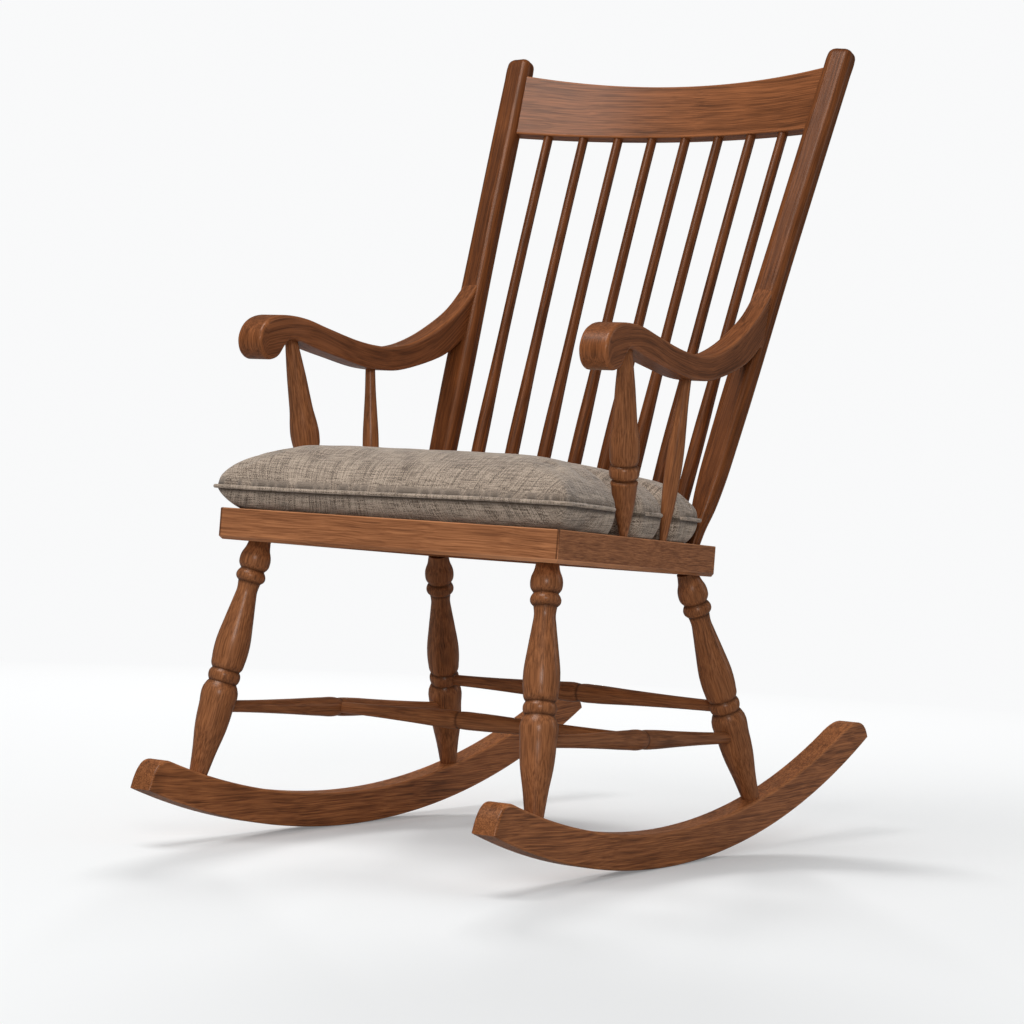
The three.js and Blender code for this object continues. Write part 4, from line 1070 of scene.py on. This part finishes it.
def side_rail_shape():
    rear_corner = Vector((rear_half, seat_depth, 0))
    over = (rear_corner - seat_corner).normalized() * 8
    bm = rail_blank(seat_corner - over, rear_corner + over)
    keep_side(bm, seat_corner + mitre_normal * mitre_gap, -mitre_normal)
    keep_side(bm, rear_corner, rear_normal)
    cuts = [Vector((0, y, 0)) for y in (60, 140, 220, 300, 360)]
    # The chamfer's painted floor light fades from the front corner to the back.
    rail_rounded(bm, cuts, lambda spot: 1.15 - smooth_step(spot.y, 60, 360), dark=0.9)
    # Behind the panel the rail has its whole thickness
    front = seat_depth - back_rail_depth + rabbet
    outer, inner = rail_width - rabbet, rail_width
    corners = [Vector((side_edge(front) - across, front, 0)) for across in (outer, inner)]
    for x in (rear_half - inner, rear_half - outer):
        corners.append(Vector((x, back_bow_at(x) - 0.6, 0)))
    whole = slab(corners, Vector((0, 0, -panel_depth)))
    filled = bpy.data.meshes.new("filled")
    whole.to_mesh(filled)
    whole.free()
    bm.from_mesh(filled)
    bpy.data.meshes.remove(filled)
    return bm


def back_rail_shape():
    front = seat_depth - back_rail_depth
    half = side_edge(front) - across_rail - butt_gap
    steps = 20
    outline = [Vector((-half, front, -seat_thickness)), Vector((half, front, -seat_thickness))]
    for k in range(2 * steps + 1):
        x = (rear_inner - butt_gap) * (1 - k / steps)
        outline.append(Vector((x, back_bow_at(x), -seat_thickness)))
    bm = slab(outline, Vector((0, 0, seat_thickness - panel_depth)))
    # Behind the rabbet the rail rises to its whole height
    sliced(bm, Vector((0, front + rabbet, 0)), Vector((0, 1, 0)))
    bm.normal_update()
    upward = [f for f in bm.faces if f.normal.z > 0.9]
    upper = [f for f in upward if f.calc_center_median().y > front + rabbet]
    made = bmesh.ops.extrude_face_region(bm, geom=upper)
    bmesh.ops.delete(bm, geom=upper, context="FACES_ONLY")
    raised = [v for v in made["geom"] if isinstance(v, bmesh.types.BMVert)]
    bmesh.ops.translate(bm, verts=raised, vec=(0, 0, panel_depth))
    bmesh.ops.dissolve_limit(bm, angle_limit=0.5 * degree, verts=bm.verts[:], edges=bm.edges[:])
    bmesh.ops.recalc_face_normals(bm, faces=bm.faces[:])
    rear = [e for e in sharp_edges(bm, 40) if min(v.co.y for v in e.verts) > seat_depth]
    round_over(bm, [e for e in rear if abs(e.verts[0].co.z - e.verts[1].co.z) < 1], 1.5)
    return bm


def along_x(spot):
    return (spot.z, spot.y, spot.x)


def along_y(spot):
    return (spot.x, spot.z, spot.y)


wooden(
    "mitred_front_rail", front_rail_shape(), seat_frame, rail_wood, ["seat_front_rail"],
    grain=along_x,
)
wooden_pair(
    "mitred_side_rail", side_rail_shape, seat_frame, rail_wood, "seat_side_rail", grain=along_y
)
wooden(
    "bowed_back_rail", back_rail_shape(), seat_frame, rail_wood, ["seat_back_rail"], grain=along_x
)

# Joinery that hardly shows is taken as it is
steel = screw_steel()
for name, solid in solids.items():
    if name == "seat_panel" or name.startswith(("seat_corner_block", "rocker_pin")):
        material = cross_wood
    elif name.startswith("arm_screw") and "plug" not in name:
        material = steel
    else:
        material = long_wood
    solid.data.materials.clear()
    solid.data.materials.append(material)


# Cushion

pad_front, pad_back = -7, seat_depth - 61
pad_corner = seat_front_half + 8
pad_back_corner = side_edge(pad_back) + 3.3
pad_slope = (pad_corner - pad_back_corner) / (pad_back - pad_front)
pad_bow = 50
pad_middle = (pad_back + pad_bow) / 2
pad_half = 236
seam_height = 26
seam_lift = 4.2
pad_crown = 62.3
belly_inset = 19
belly_inset_beside_posts = 8
belly_reach = 44
post_clearance = 7.2
swell_frames = 20
swell_limit = 2.2

# The cord, in metres: its radius, how far it lies out of the seam, and how far posts press it in
cord_radius, cord_out, cord_pressed_in = 0.0025, 0.0028, 0.0060


def post_at(inset, foot_share, head_share, radius):
    """Where a post stands beside the pad's seam, how far out its inner side is, and its radius."""
    share = foot_share + (head_share - foot_share) * seam_height / arm_height
    return seat_depth * share, side_edge(foot_share * seat_depth) - inset - radius, radius


pad_posts = [post_at(*front_post), post_at(*rear_post)]


def pad_edge(y):
    return pad_corner - pad_slope * (y - pad_front)


def let_in(y, wider=0.0):
    """How far the pad's side goes in round the posts."""
    total = 0.0
    for middle, inner, radius in pad_posts:
        depth = pad_edge(middle) - inner + post_clearance
        total += depth / (1 + ((y - middle) / (radius + post_clearance + wider)) ** 8)
    return total


def pad_plan(u, w):
    """How far back a place on the pad lies, and where the pad's side is there."""
    bow = pad_bow * (1 - abs(u) ** 2.4)
    y = pad_front + (pad_back + bow - pad_front) * (w + 1) / 2
    return y, pad_edge(y)


def seam_at(x):
    """The loose pad lies a little higher at the sitter's left."""
    return seam_height + seam_lift * smooth_step(x, -200, 220)


def crown_arcs():
    """How long the cloth is from the pad's middle out to each share of its half width."""
    rows = [(0.0, 0.0)]
    steps = 60
    for k in range(1, steps + 1):
        a, b = 1 - (1 - (k - 1) / steps) ** 2, 1 - (1 - k / steps) ** 2
        rise = pad_crown * (math.sqrt(1 - b**5) - math.sqrt(1 - a**5))
        rows.append((b, rows[-1][1] + math.hypot((b - a) * pad_half, rise)))
    return rows


arc_rows = crown_arcs()


def post_dent(out, y):
    """How much the posts hold the crown down at a place, from 0 to 1."""
    dent = 0.0
    for middle, inner, radius in pad_posts:
        near = ((y - middle) / (radius + 12)) ** 2 + ((out - inner) / 78) ** 2
        dent = max(dent, math.exp(-near * 1.5))
    return dent


def pad_point(u, w, is_under):
    """A place on the pad and on its cloth laid flat, from places on a square from -1 to 1."""
    ring = max(abs(u), abs(w), 0.0001)
    power = 6 + 40 * ring**4
    round_in = max((abs(u) / ring) ** power + (abs(w) / ring) ** power, 1) ** (-1 / power)
    u, w = u * round_in, w * round_in
    y, edge = pad_plan(u, w)
    longer = value_at(arc_rows, ring) / (ring * pad_half)
    flat = Vector((u * edge * longer, (y - pad_middle) * longer, 0))
    inset = 0.0
    if is_under:
        # The outer part of this panel makes the upright belly under the seam
        flat = Vector((u * edge, y - pad_middle, 500))
        lying = 1 - belly_reach / pad_half
        turn = min((1 - ring) / (1 - lying), 1) * math.pi / 2
        stretch = 1 / max(ring, lying)
        u, w = u * stretch, w * stretch
        y, edge = pad_plan(u, w)
        beside = smooth_step(y, 45, 135)
        deep = belly_inset + (belly_inset_beside_posts - belly_inset) * beside
        inset = deep * math.sin(turn) ** (1.6 + 0.5 * beside)
        z = 0.4 + (seam_at(u * edge) - 0.4) * (1 - math.sin(turn))
        ring = ring * stretch
    else:
        rise = seam_height + pad_crown - seam_at(u * edge)
        lower = 0.13 * smooth_step(y, 120, 340) * smooth_step(abs(u), 0.15, 0.85)
        z = seam_at(u * edge) + rise * (1 - lower) * math.sqrt(max(1 - ring**5, 0))
        dent = 17 * post_dent(abs(u * edge), y)
        z -= dent * smooth_step(z, seam_height, seam_height + 34)
    x = u * edge
    fade = smooth_step(abs(x), edge - 34, edge)
    drawn_in = inset * smooth_step(abs(u), 0.0, 1.0)
    inward = let_in(y, inset * 0.3) * fade * ring**5 + drawn_in
    x -= math.copysign(min(inward, abs(x)), x)
    y -= math.copysign(inset * smooth_step(abs(w), 0.0, 1.0), w)
    return Vector((x, y, z)), flat


square_rim = 0.9999


def round_rim(x, y):
    """How far round the rim of the square a place on it lies, from its front left corner."""
    if y < -square_rim:
        return x + 1
    if x > square_rim:
        return y + 3
    if y > square_rim:
        return 5 - x
    return 7 - y


def crowded(share, bend):
    """A share from -1 to 1 moved outwards, so that the rows crowd together towards the seam."""
    return math.sin(share * bend) / math.sin(bend)


def pad_mesh():
    """Two panels joined at the seam, in the seat's own frame, and the flat place of each point."""
    bm = bmesh.new()
    bmesh.ops.create_grid(bm, x_segments=120, y_segments=108, size=1)
    cloth = bm.verts.layers.float_vector.new("cloth")
    sewn = bm.verts.layers.float.new("sewn")
    tucked_shade = bm.verts.layers.float.new("tucked_shade")
    rim = bm.verts.layers.float.new("rim")
    made = bmesh.ops.duplicate(bm, geom=all_parts(bm))["geom"]
    under = {g for g in made if isinstance(g, bmesh.types.BMVert)}
    bmesh.ops.reverse_faces(bm, faces=[g for g in made if isinstance(g, bmesh.types.BMFace)])
    for v in bm.verts:
        v[sewn] = 1.0 if max(abs(v.co.x), abs(v.co.y)) > square_rim else 0.0
        v[rim] = round_rim(v.co.x, v.co.y)
        place, flat = pad_point(crowded(v.co.x, 1.3), crowded(v.co.y, 1.2), v in under)
        v[cloth] = flat * 0.001
        from_seam = abs(place.z - seam_at(place.x))
        # Cloth by the seam gets painted shade in the crease, deeper below the cord than above it.
        if v in under:
            v[tucked_shade] = 0.85 * (1 - smooth_step(from_seam, 4, 9))
        else:
            v[tucked_shade] = 0.25 * (1 - smooth_step(from_seam, 2, 7))
        # Stitching and filling leave the cloth a little uneven
        uneven = noise.noise(Vector((place.x / 46, place.y / 46, 3.0)))
        place.z += 1.1 * uneven * smooth_step(place.z, seam_height, seam_height + 20)
        v.co = place
    bmesh.ops.remove_doubles(bm, verts=bm.verts[:], dist=0.01)
    bmesh.ops.recalc_face_normals(bm, faces=bm.faces[:])
    return bm


def swelled(piece, seam, flat, caps):
    """Lets the cloth swell under pressure from inside, held at its seam and where it lies flat."""
    held = piece.vertex_groups.new(name="held")
    held.add(sorted(seam), 1.0, "REPLACE")
    held.add(sorted(flat), 0.9, "REPLACE")
    start = np.array([v.co for v in piece.data.vertices])
    cloth = piece.modifiers.new("swell", "CLOTH")
    settings = cloth.settings
    settings.quality = 6
    settings.mass = 0.3
    settings.tension_stiffness = 18
    settings.compression_stiffness = 12
    settings.shear_stiffness = 6
    settings.bending_stiffness = 0.35
    settings.use_pressure = True
    settings.uniform_pressure_force = 2.6
    settings.shrink_min = -0.012
    settings.vertex_group_mass = "held"
    settings.effector_weights.gravity = 0
    cloth.collision_settings.use_collision = False
    cloth.point_cache.frame_end = swell_frames
    scene = bpy.context.scene
    for number in range(1, swell_frames + 1):
        scene.frame_set(number)
    shown = piece.evaluated_get(bpy.context.evaluated_depsgraph_get())
    now = np.array([v.co for v in shown.data.vertices])
    piece.modifiers.remove(cloth)
    scene.frame_set(1)
    moved = now - start
    far = np.linalg.norm(moved, axis=1, keepdims=True)
    moved *= np.minimum(1.0, caps[:, None] / np.maximum(far, 1e-9))
    for v, place in zip(piece.data.vertices, start + moved):
        v.co = place
    return float(far.max())


def cleared(place, into_seat, limit):
    """How far cloth at a place may move and still pass the posts."""
    spot = into_seat @ Vector(place)
    free = limit
    for middle, inner, radius in pad_posts:
        far = math.hypot(spot.y - middle, abs(spot.x) - inner - radius) - radius
        free = min(free, max(far - 5.0, 0.6))
    return min(free, 0.3 + 0.1 * abs(spot.z - seam_height))


def add_cushion():
    """The loose pad. Gives its seam in order: each point, and how near beside a post it lies."""
    bm = pad_mesh()
    bm.verts.index_update()
    sewn = bm.verts.layers.float["sewn"]
    seam = {v.index for v in bm.verts if v[sewn] > 0.5}
    flat = {v.index for v in bm.verts if v.co.z < 0.5}
    bm.verts.ensure_lookup_table()
    rim = bm.verts.layers.float["rim"]
    ring = sorted(seam, key=lambda k: bm.verts[k][rim])
    beside_post = {k: smooth_step(let_in(bm.verts[k].co.y), 0.06, 0.8) for k in ring}
    whole = to_frame @ seat_frame
    bm.transform(whole)
    mesh = bpy.data.meshes.new("cushion_pad")
    bm.to_mesh(mesh)
    bm.free()
    pad = added("cushion_pad", mesh)
    into_seat = whole.inverted()
    caps = [0.001 * cleared(v.co, into_seat, swell_limit) for v in mesh.vertices]
    caps = np.array(caps)
    print("cushion moved at most", swelled(pad, seam, flat, caps))
    mesh.shade_smooth()
    mesh.materials.append(woven_fabric("woven_fabric"))
    smoothing = pad.modifiers.new("smooth", "SUBSURF")
    smoothing.levels = smoothing.render_levels = 1
    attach(pad, "cushion")
    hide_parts("cushion")
    return [(mesh.vertices[k].co.copy(), beside_post[k]) for k in ring]


def add_piping(ring):
    """A cord of the same cloth sewn into the seam, and squeezed into the pad beside the posts."""
    curve = bpy.data.curves.new("piping", "CURVE")
    curve.dimensions = "3D"
    line = curve.splines.new("POLY")
    line.points.add(len(ring) - 1)
    for k, (point, (place, beside)) in enumerate(zip(line.points, ring)):
        along = ring[(k + 1) % len(ring)][0] - ring[k - 1][0]
        outward = along.cross(Vector((0, 0, 1))).normalized()
        point.co = (*(place + outward * (cord_out - cord_pressed_in * beside)), 1)
    line.use_cyclic_u = True
    curve.bevel_depth = cord_radius
    curve.bevel_resolution = 3
    drawn = added("piping_line", curve)
    shown = drawn.evaluated_get(bpy.context.evaluated_depsgraph_get())
    mesh = bpy.data.meshes.new_from_object(shown)
    mesh.name = "cushion_piping"
    bpy.data.objects.remove(drawn)
    cloth = mesh.attributes.new("cloth", "FLOAT_VECTOR", "POINT")
    sides = len(mesh.vertices) // len(ring)
    for k in range(len(mesh.vertices)):
        cloth.data[k].vector = (0.0045 * (k // sides), 0.0021 * (k % sides), 0.9)
    mesh.shade_smooth()
    # The cord's cloth is painted a little lighter all round, a painted highlight on the round cord.
    mesh.materials.append(woven_fabric("piping_fabric", 0.4, 0.01))
    piece = added("cushion_piping", mesh)
    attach(piece, "cushion")


add_piping(add_cushion())


# Floor, light and camera

paper_white = (0.947, 0.951, 0.956, 1)


def paper_floor():
    """Paper that takes the chair's shadow near by and shows as the plain backdrop farther off."""
    material, tree, shader = new_material("paper_floor")
    shader.inputs["Base Color"].default_value = (0.83, 0.84, 0.84, 1)
    shader.inputs["Roughness"].default_value = 0.75
    shader.inputs["Specular IOR Level"].default_value = 0.25
    glow = node(tree, "ShaderNodeEmission", {"Color": paper_white, "Strength": 1.0})
    near = node(tree, "ShaderNodeBsdfDiffuse", {"Color": (0.5, 0.5, 0.5, 1)})
    dim = node(tree, "ShaderNodeBsdfDiffuse", {"Color": (0.16, 0.16, 0.16, 1)})
    coordinates = node(tree, "ShaderNodeTexCoord").outputs["Object"]
    far = node(tree, "ShaderNodeVectorMath", {0: coordinates}, operation="LENGTH").outputs["Value"]
    rays = node(tree, "ShaderNodeLightPath").outputs
    share = maths(tree, "MULTIPLY", remapped(tree, far, 0.9, 2.8, 0.2), rays["Is Camera Ray"])
    seen = mixed_shader(tree, rays["Is Camera Ray"], near, shader)
    lit = mixed_shader(tree, rays["Is Glossy Ray"], seen, dim)
    both = mixed_shader(tree, share, lit, glow)
    tree.links.new(both.outputs[0], tree.nodes["Material Output"].inputs["Surface"])
    return material


floor_mesh = bpy.data.meshes.new("floor")
floor_bm = bmesh.new()
bmesh.ops.create_circle(floor_bm, cap_ends=True, segments=96, radius=30)
bmesh.ops.translate(floor_bm, verts=floor_bm.verts[:], vec=(0, 0, -0.0005))
floor_bm.to_mesh(floor_mesh)
floor_bm.free()
floor_mesh.materials.append(paper_floor())
floor = added("floor", floor_mesh)


def add_lamp(name, place, aim, size, power, mirrored=True):
    data = bpy.data.lights.new(name, "AREA")
    data.shape = "RECTANGLE"
    data.size, data.size_y = size
    data.energy = power
    lamp = added(name, data)
    lamp.location = place
    lamp.rotation_mode = "QUATERNION"
    lamp.rotation_quaternion = (Vector(aim) - Vector(place)).to_track_quat("-Z", "Y")
    lamp.visible_camera = False
    lamp.visible_glossy = mirrored


add_lamp("high_lamp", (-0.52, -2.07, 4.35), (0, 0, 0.5), (2.3, 2.3), 118)
add_lamp("front_lamp", (2.99, -4.78, 2.35), (0, 0, 0.3), (1.6, 1.2), 80)
add_lamp("side_lamp", (3.2, 3.0, 1.9), (0, 0, 0.5), (0.8, 2.2), 9)
add_lamp("back_lamp", (-4.07, 5.21, 2.5), (0, 0, 0.1), (2.4, 0.7), 500, mirrored=False)

world = bpy.data.worlds.new("studio")
bpy.context.scene.world = world
world.use_nodes = True
sky = world.node_tree
soft = sky.nodes["Background"]
soft.inputs["Color"].default_value = (0.97, 0.98, 1.0, 1)
soft.inputs["Strength"].default_value = 0.31
plain = node(sky, "ShaderNodeBackground", {"Color": paper_white, "Strength": 1.0})
mirrored = node(sky, "ShaderNodeBackground", {"Color": (1.0, 0.95, 0.9, 1), "Strength": 0.1})
rays = node(sky, "ShaderNodeLightPath").outputs
dimmed = mixed_shader(sky, rays["Is Glossy Ray"], soft, mirrored)
chosen = mixed_shader(sky, rays["Is Camera Ray"], dimmed, plain)
sky.links.new(chosen.outputs[0], sky.nodes["World Output"].inputs["Surface"])

camera_data = bpy.data.cameras.new("camera")
camera_data.sensor_width = 36
camera_data.lens = 105.47
camera_data.clip_end = 100
camera = added("camera", camera_data)
ahead = turn_x(-rest_angle) @ Vector((-0.5418, 0.8405, -0.0020))
rightward = turn_x(-rest_angle) @ Vector((0.8389, 0.5408, 0.0616))
ahead.normalize()
rightward = (rightward - ahead * rightward.dot(ahead)).normalized()
axes = Matrix((rightward, rightward.cross(ahead), -ahead)).transposed().to_4x4()
camera.matrix_world = Matrix.Translation(to_frame @ Vector((2085.1, -2951.3, 434.6))) @ axes
bpy.context.scene.camera = camera
bpy.context.scene.view_settings.view_transform = "Standard"
